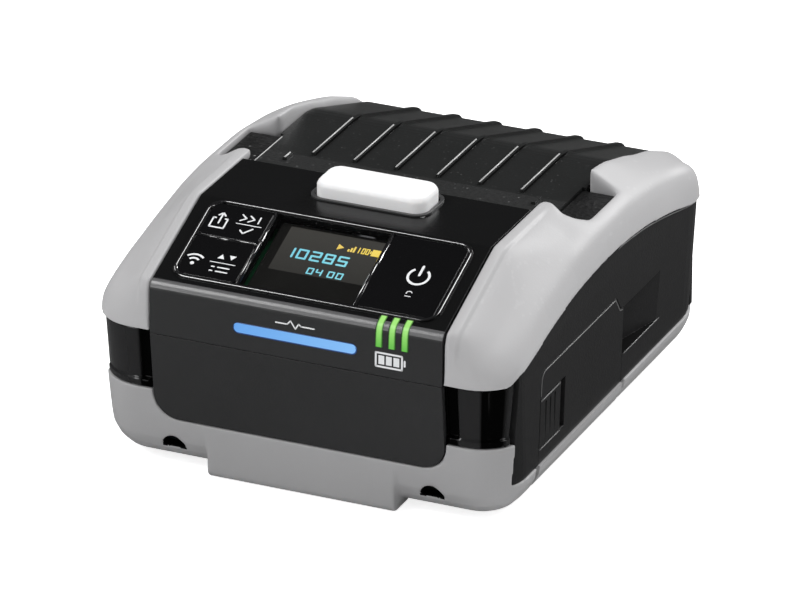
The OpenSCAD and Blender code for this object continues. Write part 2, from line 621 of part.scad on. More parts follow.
arm_x = [platen_hx + 0.3, platen_hx + 1.3];
bush_r = 2.6;
frame_t = 1.2;
lug_r = 2.8;
module lid_frame() part() color(soft_black) difference() {
    union() {
        slab(-arm_x[1], arm_x[1]) polygon([[frame_start, lid_z - lid_t], [bend_y, frame_z(bend_y)], [frame_end, frame_z(frame_end)],
            [frame_end, frame_z(frame_end) - frame_t], [bend_y, frame_z(bend_y) - frame_t], [frame_start, lid_z - lid_t - frame_t]]);
        mirrored() slab(arm_x[0], arm_x[1]) polygon([[platen_y - 2.3, lid_z - lid_t], [frame_start + 4, lid_z - lid_t - 0.1],
            [frame_start + 2, lid_z - lid_t - 2], [platen_y + 2, platen_z - 3.6], [platen_y - 2, platen_z - 3.6],
            [platen_y - 3.2, platen_z - 2.4], [platen_y - 3.2, platen_z + 2.4], [platen_y - 2.3, platen_z + 3.6]]);
        mirrored() slab(arm_x[1] - 2.2, arm_x[1]) polygon(concat([[frame_end - 6, frame_z(frame_end - 6)]],
            [[frame_end, frame_z(frame_end)]], arc([hinge_y, hinge_z], lug_r, 70, -130),
            [[frame_end - 6, frame_z(frame_end - 6) - 2.4]]));
    }
    rod_x(bush_r + fit, -hw, hw, platen_y, platen_z);
    rod_x(pin_r + fit, -hw, hw, hinge_y, hinge_z);
}
frame_start = platen_y + platen_r + 0.7;
frame_end = hinge_y - 4.3;
function frame_z(y) = lid_z - lid_t - 0.4 - (y - bend_y) * tan(fall_a);

pin_end = well_hx + well_t;
module hinge_pin() part() color(steel) rod_x(pin_r, -pin_end, pin_end, hinge_y, hinge_z);
module hinge_spring() part() color(steel) {
    translate([-11, hinge_y, hinge_z]) rotate([0, 90, 0]) helix(pin_r + 0.55, spring_wire, 22, 14);
}

module platen_roller() part() color([0.1, 0.1, 0.1]) difference() {
    rod_x(platen_r, -platen_hx, platen_hx, platen_y, platen_z);
    rod_x(shaft_r, -hw, hw, platen_y, platen_z);
}
gear_x = [plate_x[0] - 0.2 - gear_w, plate_x[0] - 0.2];
module platen_shaft() part() color(steel) rod_x(shaft_r, gear_x[0], hook_x[1], platen_y, platen_z);
module platen_bushes() part() color([0.75, 0.6, 0.3]) mirrored() difference() {
    rod_x(bush_r, arm_x[0], arm_x[1], platen_y, platen_z);
    rod_x(shaft_r + fit, 0, hw, platen_y, platen_z);
}

// Spur gear with straight-sided teeth, turned by a for meshing
module gear(teeth, bore, x, y, z, a) {
    pr = gear_m * teeth / 2;
    root = pr - 1.25 * gear_m;
    tip = pr + 0.9 * gear_m;
    step = 360 / teeth;
    translate([x[0], y, z]) rotate([0, 90, 0]) rotate(a) difference() {
        linear_extrude(x[1] - x[0]) polygon([for (i = [0:teeth - 1]) for (q = [[root, -0.31], [pr, -0.225], [tip, -0.1],
            [tip, 0.1], [pr, 0.225], [root, 0.31]]) let(t = (i + q[1]) * step) q[0] * [cos(t), sin(t)]]);
        translate([0, 0, -1]) cylinder(r = bore, h = x[1] - x[0] + 2);
    }
}
// Idler and motor stand below the platen so that the lid lifts its gear straight out of mesh
mesh_slack = 0.05;
idler_dir = -105;
idler_d = gear_m * (platen_teeth + idler_teeth) / 2 + mesh_slack;
idler_c = [platen_y + idler_d * cos(idler_dir), platen_z + idler_d * sin(idler_dir)];
motor_dir = -145;
motor_d = gear_m * (idler_teeth + pinion_teeth) / 2 + mesh_slack;
motor_c = [idler_c[0] + motor_d * cos(motor_dir), idler_c[1] + motor_d * sin(motor_dir)];
idler_phase = 180 / idler_teeth;
stud_r = 1.2;
module platen_gear() part() color([0.9, 0.9, 0.88]) gear(platen_teeth, shaft_r, gear_x, platen_y, platen_z, flip(idler_dir));
module idler_gear() part() color([0.9, 0.9, 0.88])
    gear(idler_teeth, stud_r + fit, gear_x, idler_c[0], idler_c[1], flip(idler_dir + 180) + idler_phase);
// Direction p in Y and Z, seen in the plane that rotate([0, 90, 0]) leaves
function flip(p) = atan2(cos(p), -sin(p));
// Phase of the idler tooth that faces the pinion, carried over to the pinion
function tooth_offset(dir) = flip(dir) - (flip(idler_dir + 180) + idler_phase);
pinion_turn = -tooth_offset(motor_dir) * idler_teeth / pinion_teeth;
shaft_bore = 0.75;
module motor_pinion() part() color([0.8, 0.7, 0.4])
    gear(pinion_teeth, shaft_bore, gear_x, motor_c[0], motor_c[1], flip(motor_dir + 180) + 180 / pinion_teeth - pinion_turn);
motor_r = 9;
motor_l = bay_x - plate_x[1] - 0.7;
module motor() part() color(steel) {
    rod_x(motor_r, plate_x[1], plate_x[1] + motor_l, motor_c[0], motor_c[1]);
    rod_x(2.4, plate_x[1] - 0.4, plate_x[1], motor_c[0], motor_c[1]);
}
module gear_plate() part() color(steel) difference() {
    union() {
        slab(plate_x[0], plate_x[1]) polygon([[motor_c[0] - 9, deck], [idler_c[0] + 2, deck], [idler_c[0] + 2, bay_z],
            [motor_c[0] - 9, bay_z]]);
        rod_x(stud_r, gear_x[0] - 0.2, plate_x[0], idler_c[0], idler_c[1]);
    }
    rod_x(2.45, plate_x[0] - 0.1, plate_x[1] + 1, motor_c[0], motor_c[1]);
}

bay_z = 29;
head_y = [43.4, 45.6];
cross_y = [40.9, 41.7];
head_pivot = [44.5, 32.7];
ear_x = [platen_hx - 1.5, platen_hx - 0.3];
flange_y = [43, 47];
flange_t = 1;
module head_frame() part() color(steel) difference() {
    union() {
        wallslab(cross_y[0], cross_y[1]) polygon([[-ear_x[1], 34.4], [ear_x[1], 34.4], [ear_x[1], 41], [-ear_x[1], 41]]);
        mirrored() slab(ear_x[0], ear_x[1]) polygon([[37, bay_z], [flange_y[1], bay_z], [flange_y[1], 32], [46, 35.4], [cross_y[1], 38.4],
            [cross_y[0], 38.4], [37, 35]]);
        block([plate_x[0], -ear_x[1] + 0.1], flange_y, [bay_z, bay_z + flange_t]);
        block([ear_x[1] - 0.1, ear_x[1] + 4.6], flange_y, [bay_z, bay_z + flange_t]);
    }
    rod_x(yoke_tube_r + fit, -hw, hw, yoke_y, yoke_z);
    rod_x(0.9 + fit, -ear_x[1] - 0.1, ear_x[1] + 0.1, head_pivot[0], head_pivot[1]);
    translate([ear_x[1] + 2.6, 45, bay_z - 1]) cylinder(r = 1.1, h = 3);
}
module heat_sink() part() color([0.75, 0.76, 0.78]) {
    slab(0.4 - ear_x[0], ear_x[0] - 0.4) polygon([[head_y[0], 31.2], [head_y[1], 31.2], [head_y[1], 43.8], [head_y[0], 43.8]]);
    rod_x(0.9, -ear_x[1], ear_x[1], head_pivot[0], head_pivot[1]);
}
head_face = platen_y - platen_r - 0.12;
module print_head() part() color([0.85, 0.83, 0.75]) {
    block([0.9 - ear_x[0], ear_x[0] - 0.9], [head_y[1], head_face - 0.25], [35, 43]);
    block([2.4 - ear_x[0], ear_x[0] - 2.4], [head_y[1] + 0.1, head_face], [platen_z - 0.6, platen_z + 0.6]);
    block([-9, 9], [head_y[1], head_y[1] + 1.2], [32, 35.2]);
}
module head_springs() part() color(steel) for (s = [-1, 1])
    translate([s * 15, cross_y[1] + 0.05, 39.6]) rotate([-90, 0, 0]) helix(1.7, spring_wire, head_y[0] - cross_y[1] - 0.35, 2);

tear_hx = panel_hx - 1.4;
module tear_bar() part() color(steel) {
    block([-tear_hx, tear_hx], [panel_end_y + 0.05, panel_end_y + 0.65], [44.4, panel_z - 1.3]);
    teeth = 46;
    for (i = [0:teeth - 1]) translate([tear_hx * ((2 * i + 1) / teeth - 1), panel_end_y + 0.05, panel_z - 1.35]) rotate([-90, 0, 0])
        linear_extrude(0.6) polygon([[-0.6, 0], [0.6, 0], [0, -0.8]]);
}

roll_z = deck + well_t + trough_r;
well_top = lid_z - lid_t - 0.8;
pinion_c = roll_y + trough_r - 3.9;
rack_half = 4;
rack_y = [pinion_c - rack_half, pinion_c + rack_half];
module paper_well() part() color(soft_black) difference() {
    union() {
        translate([0, pinion_c, deck + well_t / 2]) cylinder(r = pinion_stud_r, h = rack_z + rack_h - deck - well_t / 2);
        slab(-well_hx - eps, well_hx + eps) difference() {
            union() {
                translate([roll_y, roll_z]) circle(trough_r + well_t);
                translate([well_front, deck]) square([2 * (trough_r + well_t), roll_z - deck]);
                translate([well_front, roll_z]) square([well_t, 11]);
                translate([roll_y + trough_r, roll_z]) square([well_t, 1.6]);
            }
            translate([roll_y, roll_z]) circle(trough_r);
            translate([roll_y - trough_r, roll_z]) square([2 * trough_r, body_h]);
            translate([well_front + 2.4, deck - 1]) square([7, 6]);
            translate([rack_y[0] - run, deck + 1.2]) square([rack_y[1] + 2 * run - rack_y[0], roll_z]);
        }
        mirrored() slab(well_hx, well_hx + well_t) polygon(concat([[well_front, deck], [hinge_y - 7.3, deck], [hinge_y - 6.8, hinge_z - 4.8]],
            arc([hinge_y, hinge_z], 3, -135, 75), [[frame_end, well_top - (frame_end - bend_y) * tan(fall_a) - 0.3], [bend_y, well_top - 0.3], [well_front, well_top]]));
    }
    rod_x(pin_r + 0.01, -hw, hw, hinge_y, hinge_z);
}
guide_m = 0.6;
pinion_stud_r = 0.8;
guide_teeth = 8;
guide_pr = guide_m * guide_teeth / 2;
rack_z = deck + 1.3;
rack_h = 1.5;
guide_t = 1.2;
guide_r = trough_r - 4.6;
// A rack along X beside the guide pinion, on the side s of it, with its teeth towards the pinion
module rack(x0, x1, s) {
    pitch = PI * guide_m;
    n0 = ceil(x0 / pitch);
    n1 = floor(x1 / pitch);
    y_pitch = pinion_c + s * (guide_pr + 0.06);
    back = y_pitch + s * 1.35;
    difference() {
        block([x0, x1], [min(y_pitch - s * 0.5, back), max(y_pitch - s * 0.5, back)], [rack_z, rack_z + rack_h]);
        for (n = [n0:n1 + 1]) translate([n * pitch, y_pitch, rack_z - 1]) linear_extrude(rack_h + 2)
            polygon([[-0.72, -s * 0.6], [0.72, -s * 0.6], [0.28, s * 0.85], [-0.28, s * 0.85]]);
    }
}
module media_guide(s) {
    x = well_hx - 0.35 - guide_t;
    mirror([s > 0 ? 0 : 1, 0, 0]) difference() {
        union() {
            translate([x, roll_y, roll_z]) rotate([0, 90, 0]) cylinder(r = guide_r, h = guide_t);
            slab(x, x + guide_t) polygon([[roll_y + 4, roll_z - 6], [rack_y[1], rack_z + rack_h], [rack_y[1], rack_z],
                [rack_y[0], rack_z], [rack_y[0], roll_z - guide_r + 0.4], [roll_y - 2, roll_z - guide_r + 3]]);
            rod_x(5, x - 2.4, x + 0.2, roll_y, roll_z);
        }
        rod_x(3.2, x - 3, x + 3, roll_y, roll_z);
    }
    rack(s > 0 ? -8 : -x - 0.2, s > 0 ? x + 0.2 : 8, s);
}
module left_media_guide() part() color([0.3, 0.3, 0.32]) media_guide(-1);
module right_media_guide() part() color([0.3, 0.3, 0.32]) media_guide(1);
module guide_pinion() part() color([0.9, 0.9, 0.88]) translate([0, pinion_c, rack_z]) {
    step = 360 / guide_teeth;
    difference() {
        linear_extrude(rack_h) polygon([for (i = [0:guide_teeth - 1]) for (q = [[guide_pr - 0.75, -0.3], [guide_pr, -0.2], [guide_pr + 0.5, -0.08],
        [guide_pr + 0.5, 0.08], [guide_pr, 0.2], [guide_pr - 0.75, 0.3]]) let(t = 90 + (i + q[1]) * step) q[0] * [cos(t), sin(t)]]);
        translate([0, 0, -1]) cylinder(r = pinion_stud_r + fit, h = rack_h + 2);
    }
}
module media_sensor() part() color(board_green) {
    block([-6, 6], [well_front - 1.4, well_front], [bay_z, bay_z + 3.6]);
    block([-2, 2], [well_front - 2.6, well_front - 1.3], [bay_z + 0.6, bay_z + 3]);
}

bay_t = 1.1;
module battery_bay() part() color(soft_black) {
    difference() {
        block([bay_x, pack_cap_x - seam], [pack_y[0] - bay_wall, pack_y[1] + bay_wall], [deck, bay_z]);
        block([bay_x + bay_t, hw], [pack_y[0] - bay_wall + bay_t, pack_y[1] + bay_wall - bay_t], [deck + bay_t, bay_z - bay_t]);
    }
    for (x = [bay_x + 6.2, pack_cap_x - 4.2], y = [19.5, 27.5]) translate([x, y, bay_z - 0.2]) cylinder(r = 1.4, h = 1.5);
}
module battery_contacts() part() color([0.8, 0.65, 0.25]) block([bay_x + bay_t, bay_x + bay_t + 1.1], [33, 43], [8, 13]);
body_x = bay_x + bay_t + 1.3;
cell_y = (pack_y[0] + pack_y[1]) / 2;
cell_z = deck + bay_t + 0.5 + 1.2 + cell_r + 0.5;
// Outline of the pack inside the bay, drawn in by gap
module pack_core(gap) intersection() {
    pack_outline(-gap, deck + bay_t + gap);
    translate([pack_y[0], 0]) square([pack_y[1] - pack_y[0], bay_z - bay_t - gap]);
}
module battery_pack() part() color(dark_grey) difference() {
    union() {
        difference() {
            intersection() {
                outer(side_drop);
                slab(pack_cap_x - 0.1, hw + 1) pack_outline(0, base_z);
            }
            block([hw - side_drop - 1.9, hw + 1], [pack_y[0] - 1, latch_y[1] + latch_travel + 0.2],
                [latch_z[0] - 0.2, latch_z[1] + 0.2]);
        }
        slab(body_x, pack_cap_x) pack_core(0.4);
    }
    slab(body_x + 1.2, body_x + 1.8 + cell_l) pack_core(1.4);
}
module battery_pack_strip() part() color(mid_grey) intersection() {
    outer(0);
    slab(pack_cap_x, hw + 1) pack_outline(0, 0);
    block([0, hw + 1], [0, body_d], [0, base_z - 0.05]);
}
module battery_cells() part() color([0.2, 0.45, 0.75]) for (s = [-1, 1])
    rod_x(cell_r, body_x + 1.5, body_x + 1.5 + cell_l, cell_y + s * (cell_r + 0.2), cell_z);
latch_y = [17.6, 27.4];
latch_z = [11.5, 21.6];
grooves = 3;
module battery_latch() part() color(dark_grey) difference() {
    intersection() {
        outer(side_drop);
        block([hw - side_drop - 1.8, hw + 1], latch_y, latch_z);
    }
    for (i = [0:grooves - 1]) block([hw - side_drop - 0.5, hw + 1],
        [latch_y[0] + 2.6 + i * 2.2 - 0.35, latch_y[0] + 2.6 + i * 2.2 + 0.35], [latch_z[0] + 1, latch_z[1] - 1]);
}

module main_board() part() color(board_green) {
    block([bay_x + 3.4, pack_cap_x - 0.8], [8, 30.5], [bay_z + 1.3, bay_z + 2.4]);
    // Chips: distance from the bay's end, place along Y, size and height
    for (c = [[14.2, 12, 8, 1.2], [26.2, 14, 5, 1], [38.2, 22, 6, 1.6], [18.2, 24, 4, 2.4], [46.2, 12, 4, 1.4], [28.2, 23, 4, 1]])
        block([bay_x + c[0], bay_x + c[0] + c[2]], [c[1] - c[2] / 2, c[1] + c[2] / 2], [bay_z + 2.3, bay_z + 2.4 + c[3]]);
}
module radio_module() part() color(steel) block([bay_x + 4.2, bay_x + 12.7], [12, 24], [bay_z + 2.4, bay_z + 4.4]);
port_x = 2.6 - hw;
port_board_x = [8.8 - hw, 9.8 - hw];
module port_board() part() color(board_green) block(port_board_x, [port_y[0] + 2, port_y[1] - 2], [deck, port_z[1] + 1]);
module port_sockets() part() color(steel) {
    block([port_x + 0.3, port_board_x[0]], [port_y[0] + 5, port_y[0] + 13.6], [port_z[0] + 4, port_z[0] + 7]);
    difference() {
        block([port_x + 0.3, port_board_x[0]], [port_y[0] + 16.4, port_y[0] + 23.4], [port_z[0] + 2, port_z[0] + 9]);
        rod_x(2.4, port_x - 2, port_board_x[0] - 1.8, port_y[0] + 19.9, port_z[0] + 5.5);
    }
}
module port_cover() part() color([0.16, 0.16, 0.16]) difference() {
    intersection() {
        outer(side_drop);
        block([-hw - 1, port_x], [port_y[0] + 0.1, port_y[1] - 0.1], [port_z[0] + 0.1, port_z[1] - 0.1]);
    }
    block([-hw - 1, -hw + side_drop + 0.5], [port_y[1] - 4, port_y[1] - 1.4], [port_z[0] + 3, port_z[1] - 3]);
}
module case_screws() part() color(steel) for (s = [-1, 1], y = boss_y) translate([s * boss_x, y, 0]) {
    difference() {
        translate([0, 0, floor_z + 0.3]) cylinder(r = head_r, h = head_deep - 0.3);
        translate([0, 0, floor_z - 1]) cylinder(r = 1.1, h = 2, $fn = 6);
    }
    translate([0, 0, floor_z + head_deep - 0.1]) cylinder(r = screw_r - 0.1, h = 13);
}

lower_case();
middle_case();
side_cheeks();
left_corner_pillar();
right_corner_pillar();
front_plate();
front_cover();
left_upper_bumper();
right_upper_bumper();
control_panel();
display_window();
display_module();
key_board();
key_switches();
feed_key();
select_key();
power_key();
status_light_bar();
battery_lights();
light_board();
release_button();
button_collar();
button_springs();
latch_yoke();
lid_cover();
lid_frame();
hinge_pin();
hinge_spring();
platen_roller();
platen_shaft();
platen_bushes();
platen_gear();
idler_gear();
motor();
motor_pinion();
gear_plate();
head_frame();
heat_sink();
print_head();
head_springs();
tear_bar();
paper_well();
left_media_guide();
right_media_guide();
guide_pinion();
media_sensor();
battery_bay();
battery_contacts();
battery_pack();
battery_pack_strip();
battery_cells();
battery_latch();
main_board();
radio_module();
port_board();
port_sockets();
port_cover();
case_screws();
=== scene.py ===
# %% [markdown]
# This lesson dresses a palm-sized thermal printer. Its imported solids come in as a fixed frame, and every
# look is built around them. Lengths are millimetres of the drawing, with y = 0 at the front face. `P` turns
# them into scene metres, so one number means the same in the drawing and here.

# %% Load the frame
import json
import math
import bmesh
import bpy
import numpy as np
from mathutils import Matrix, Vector
from mathutils.bvhtree import BVHTree


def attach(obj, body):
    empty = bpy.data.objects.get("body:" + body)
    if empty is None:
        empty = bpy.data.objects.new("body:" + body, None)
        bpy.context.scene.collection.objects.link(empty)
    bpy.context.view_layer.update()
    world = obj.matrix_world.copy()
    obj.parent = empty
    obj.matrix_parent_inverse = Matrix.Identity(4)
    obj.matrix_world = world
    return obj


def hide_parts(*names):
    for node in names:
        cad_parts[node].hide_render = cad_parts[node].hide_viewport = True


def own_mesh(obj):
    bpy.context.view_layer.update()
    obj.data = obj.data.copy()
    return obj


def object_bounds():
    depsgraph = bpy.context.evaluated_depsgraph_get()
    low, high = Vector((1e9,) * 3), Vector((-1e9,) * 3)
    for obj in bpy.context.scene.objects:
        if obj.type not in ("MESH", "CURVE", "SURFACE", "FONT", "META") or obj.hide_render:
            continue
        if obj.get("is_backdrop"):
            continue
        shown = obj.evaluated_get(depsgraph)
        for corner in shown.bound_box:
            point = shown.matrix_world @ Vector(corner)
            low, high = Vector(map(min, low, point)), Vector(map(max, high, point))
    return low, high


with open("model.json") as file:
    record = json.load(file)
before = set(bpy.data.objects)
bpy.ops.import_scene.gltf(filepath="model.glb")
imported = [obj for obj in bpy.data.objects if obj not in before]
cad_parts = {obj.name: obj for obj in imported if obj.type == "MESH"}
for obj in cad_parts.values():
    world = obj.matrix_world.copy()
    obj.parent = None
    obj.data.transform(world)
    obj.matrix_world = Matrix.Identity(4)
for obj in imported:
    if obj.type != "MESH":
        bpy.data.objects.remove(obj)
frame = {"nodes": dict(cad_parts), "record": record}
cad_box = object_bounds()
NODES = frame["nodes"]
BODY_OF = {n: b for b, ns in frame["record"]["behaviour"]["bodies"].items() for n in ns}
MM = 0.001
FRONT_Y = cad_box[0].y


def P(x, y, z):
    return Vector((x * MM, y * MM + FRONT_Y, z * MM))


print("nodes", len(NODES), "box", [round(v, 4) for v in (*cad_box[0], *cad_box[1])])

# %% [markdown]
# Moulded plastic is never quite even: its mould has a fine grain, and its colour and gloss drift slowly. A
# picture could give that, but noise in object space needs no unwrapping and has no seams. A few short
# functions add the nodes that every material is built from: noise, arithmetic, a ramp and a mix.

# %% Node helpers
BLACK, WHITE = (0, 0, 0), (1, 1, 1)


def noise(tree, vector, scale, detail=3.0, rough=0.55):
    node = tree.nodes.new("ShaderNodeTexNoise")
    node.inputs["Scale"].default_value = scale
    node.inputs["Detail"].default_value = detail
    node.inputs["Roughness"].default_value = rough
    tree.links.new(vector, node.inputs["Vector"])
    return node.outputs["Fac"]


def math_node(tree, operation, a, b=None, clamp=False):
    node = tree.nodes.new("ShaderNodeMath")
    node.operation = operation
    node.use_clamp = clamp
    for socket, value in zip(node.inputs, (a, b)):
        if isinstance(value, (int, float)):
            socket.default_value = value
        elif value is not None:
            tree.links.new(value, socket)
    return node.outputs[0]


def ramp(tree, value, stops):
    node = tree.nodes.new("ShaderNodeValToRGB")
    elements = node.color_ramp.elements
    while len(elements) < len(stops):
        elements.new(0.5)
    for element, (place, colour) in zip(elements, stops):
        element.position = place
        element.color = (*colour, 1)
    tree.links.new(value, node.inputs[0])
    return node.outputs[0]


def mix_colour(tree, fac, a, b):
    node = tree.nodes.new("ShaderNodeMix")
    node.data_type = "RGBA"
    tree.links.new(fac, node.inputs[0])
    for socket, value in ((node.inputs[6], a), (node.inputs[7], b)):
        if isinstance(value, tuple):
            socket.default_value = (*value, 1)
        else:
            tree.links.new(value, socket)
    return node.outputs[2]


print("colours", BLACK, WHITE)

# %% [markdown]
# Patterns have to stay with the piece as it moves, so they read Object coordinates. One helper gives those,
# one takes them apart, one stretches a value to a new range, and one places a ready node group.

# %% Coordinates and ranges
def spread(tree, value, low, high, start=0.0, end=1.0):
    """A value that runs from low to high while the input runs from start to end."""
    node = tree.nodes.new("ShaderNodeMapRange")
    for label, number in (("From Min", start), ("From Max", end), ("To Min", low), ("To Max", high)):
        node.inputs[label].default_value = number
    tree.links.new(value, node.inputs["Value"])
    return node.outputs[0]


def object_coord(tree):
    return tree.nodes.new("ShaderNodeTexCoord").outputs["Object"]


def split_xyz(tree, vector):
    node = tree.nodes.new("ShaderNodeSeparateXYZ")
    tree.links.new(vector, node.inputs[0])
    return node.outputs


def placed(tree, group, **values):
    """A node group set into a material. Each of its inputs takes a number or a link."""
    node = tree.nodes.new("ShaderNodeGroup")
    node.node_tree = group
    for label, value in values.items():
        if isinstance(value, (int, float)):
            node.inputs[label].default_value = value
        else:
            tree.links.new(value, node.inputs[label])
    return node.outputs


print("every pattern reads Object coordinates")

# %% [markdown]
# Grain and drawn metal serve many materials, so each is a node group, built once. A group only gives a
# height and a slow tint. The material that holds it decides how deep and how strong they show.

# %% Grain and drawn metal
def new_group(name, inputs, outputs):
    group = bpy.data.node_groups.new(name, "ShaderNodeTree")
    for label, kind, value in inputs:
        socket = group.interface.new_socket(name=label, in_out="INPUT", socket_type=kind)
        if value is not None:
            socket.default_value = value
    for label in outputs:
        group.interface.new_socket(name=label, in_out="OUTPUT", socket_type="NodeSocketFloat")
    return group, group.nodes.new("NodeGroupInput"), group.nodes.new("NodeGroupOutput")


def grain_group():
    """Moulded grain: fine leathery pits with a slow unevenness under them."""
    group, inside, outside = new_group("moulded_grain", [("Vector", "NodeSocketVector", None),
                                                         ("Scale", "NodeSocketFloat", 1.0)],
                                       ("Height", "Tint"))
    scaled = group.nodes.new("ShaderNodeVectorMath")
    scaled.operation = "SCALE"
    group.links.new(inside.outputs["Vector"], scaled.inputs[0])
    group.links.new(inside.outputs["Scale"], scaled.inputs["Scale"])
    fine = noise(group, scaled.outputs[0], 2600, 4, 0.6)
    pits = group.nodes.new("ShaderNodeTexVoronoi")
    pits.inputs["Scale"].default_value = 1900
    group.links.new(scaled.outputs[0], pits.inputs["Vector"])
    height = math_node(group, "ADD", math_node(group, "MULTIPLY", fine, 0.7),
                       math_node(group, "MULTIPLY", pits.outputs["Distance"], 0.5))
    group.links.new(height, outside.inputs["Height"])
    group.links.new(noise(group, scaled.outputs[0], 35, 3, 0.5), outside.inputs["Tint"])
    return group


def drawn_group():
    """Brushed or drawn metal: noise stretched along one axis."""
    group, inside, outside = new_group("drawn_metal", [("Vector", "NodeSocketVector", None)],
                                       ("Height", "Tint"))
    stretch = group.nodes.new("ShaderNodeVectorMath")
    stretch.operation = "MULTIPLY"
    stretch.inputs[1].default_value = (0.06, 1.0, 1.0)
    group.links.new(inside.outputs["Vector"], stretch.inputs[0])
    group.links.new(noise(group, stretch.outputs[0], 3200, 3, 0.6), outside.inputs["Height"])
    group.links.new(noise(group, inside.outputs["Vector"], 160, 4, 0.6), outside.inputs["Tint"])
    return group


GRAIN = grain_group()
METAL = drawn_group()
print("node groups", [g.name for g in bpy.data.node_groups])

# %% [markdown]
# Hands polish the outer edges of the pale shells, and a coarse texture sparkles where single grains catch
# the light. Both could be painted by hand. Pointiness finds the edges of a fine mesh by itself, and a
# Voronoi pattern gives one speck in some of its cells, so neither needs a picture. The specks are painted
# glints: a lighter colour where a grain would catch the light. More than one material uses them, so each is
# a group, and it gives only a mask.

# %% Worn edges and painted glints
GLINT_COLOUR = (0.5, 0.5, 0.5)


def wear_group():
    """Patchy wear along outer edges. The material feeds it the Pointiness of its mesh."""
    group, inside, outside = new_group("worn_edges", [("Vector", "NodeSocketVector", None),
                                                      ("Pointiness", "NodeSocketFloat", 0.5),
                                                      ("Amount", "NodeSocketFloat", 0.3)], ("Mask",))
    worn = ramp(group, inside.outputs["Pointiness"], [(0.5, BLACK), (0.56, WHITE)])
    patchy = math_node(group, "MULTIPLY", worn, noise(group, inside.outputs["Vector"], 220, 3, 0.7))
    mask = math_node(group, "MULTIPLY", patchy, inside.outputs["Amount"], True)
    group.links.new(mask, outside.inputs["Mask"])
    return group


def glint_group():
    """Painted glints of single grains: a small lighter dot in some cells of a Voronoi pattern."""
    group, inside, outside = new_group("bright_specks", [("Vector", "NodeSocketVector", None),
                                                         ("Scale", "NodeSocketFloat", 1000.0),
                                                         ("Amount", "NodeSocketFloat", 0.3)], ("Mask",))
    dots = group.nodes.new("ShaderNodeTexVoronoi")
    for label in ("Vector", "Scale"):
        group.links.new(inside.outputs[label], dots.inputs[label])
    centre = ramp(group, dots.outputs["Distance"], [(0.1, WHITE), (0.3, BLACK)])
    chosen = ramp(group, dots.outputs["Color"], [(0.72, BLACK), (0.9, WHITE)])
    lit = math_node(group, "MULTIPLY", centre, chosen)
    mask = math_node(group, "MULTIPLY", lit, inside.outputs["Amount"], True)
    group.links.new(mask, outside.inputs["Mask"])
    return group


WEAR = wear_group()
GLINT_MASK = glint_group()
print("masks", WEAR.name, GLINT_MASK.name)

# %% [markdown]
# The inner solids have sharp edges, which no moulding or casting has. Bevelling all of them would cost many
# faces for pieces that are hardly seen. A Bevel node rounds an edge in the shading alone, and the grain is
# laid over it as a bump.

# %% Grain over rounded edges
BEVEL_SAMPLES = 6


def relief(tree, shader, height, bump, depth, round_edge, coated):
    bumped = tree.nodes.new("ShaderNodeBump")
    bumped.inputs["Strength"].default_value = bump
    bumped.inputs["Distance"].default_value = depth
    tree.links.new(height, bumped.inputs["Height"])
    if round_edge:
        bevel = tree.nodes.new("ShaderNodeBevel")
        bevel.samples = BEVEL_SAMPLES
        bevel.inputs["Radius"].default_value = round_edge
        tree.links.new(bevel.outputs[0], bumped.inputs["Normal"])
        if coated:
            tree.links.new(bevel.outputs[0], shader.inputs["Coat Normal"])
    tree.links.new(bumped.outputs[0], shader.inputs["Normal"])


print("samples of a rounded edge", BEVEL_SAMPLES)

# %% [markdown]
# One function writes every solid material, so that they differ only in their numbers. It shades the colour
# with the slow tint and the masks, varies the roughness, and adds the relief. `mask` paints reflection bands:
# it darkens a piece's colour and gloss in parts of it. `lift` is a painted glow that brightens a white which
# would otherwise look grey.

# %% Material maker
SURFACE = {}
MASKED_SHARE, MASKED_GLOSS = 0.04, 0.12


def new_material(name):
    mat = bpy.data.materials.new(name)
    mat.use_nodes = True
    SURFACE[name] = mat
    return mat.node_tree, mat.node_tree.nodes["Principled BSDF"]


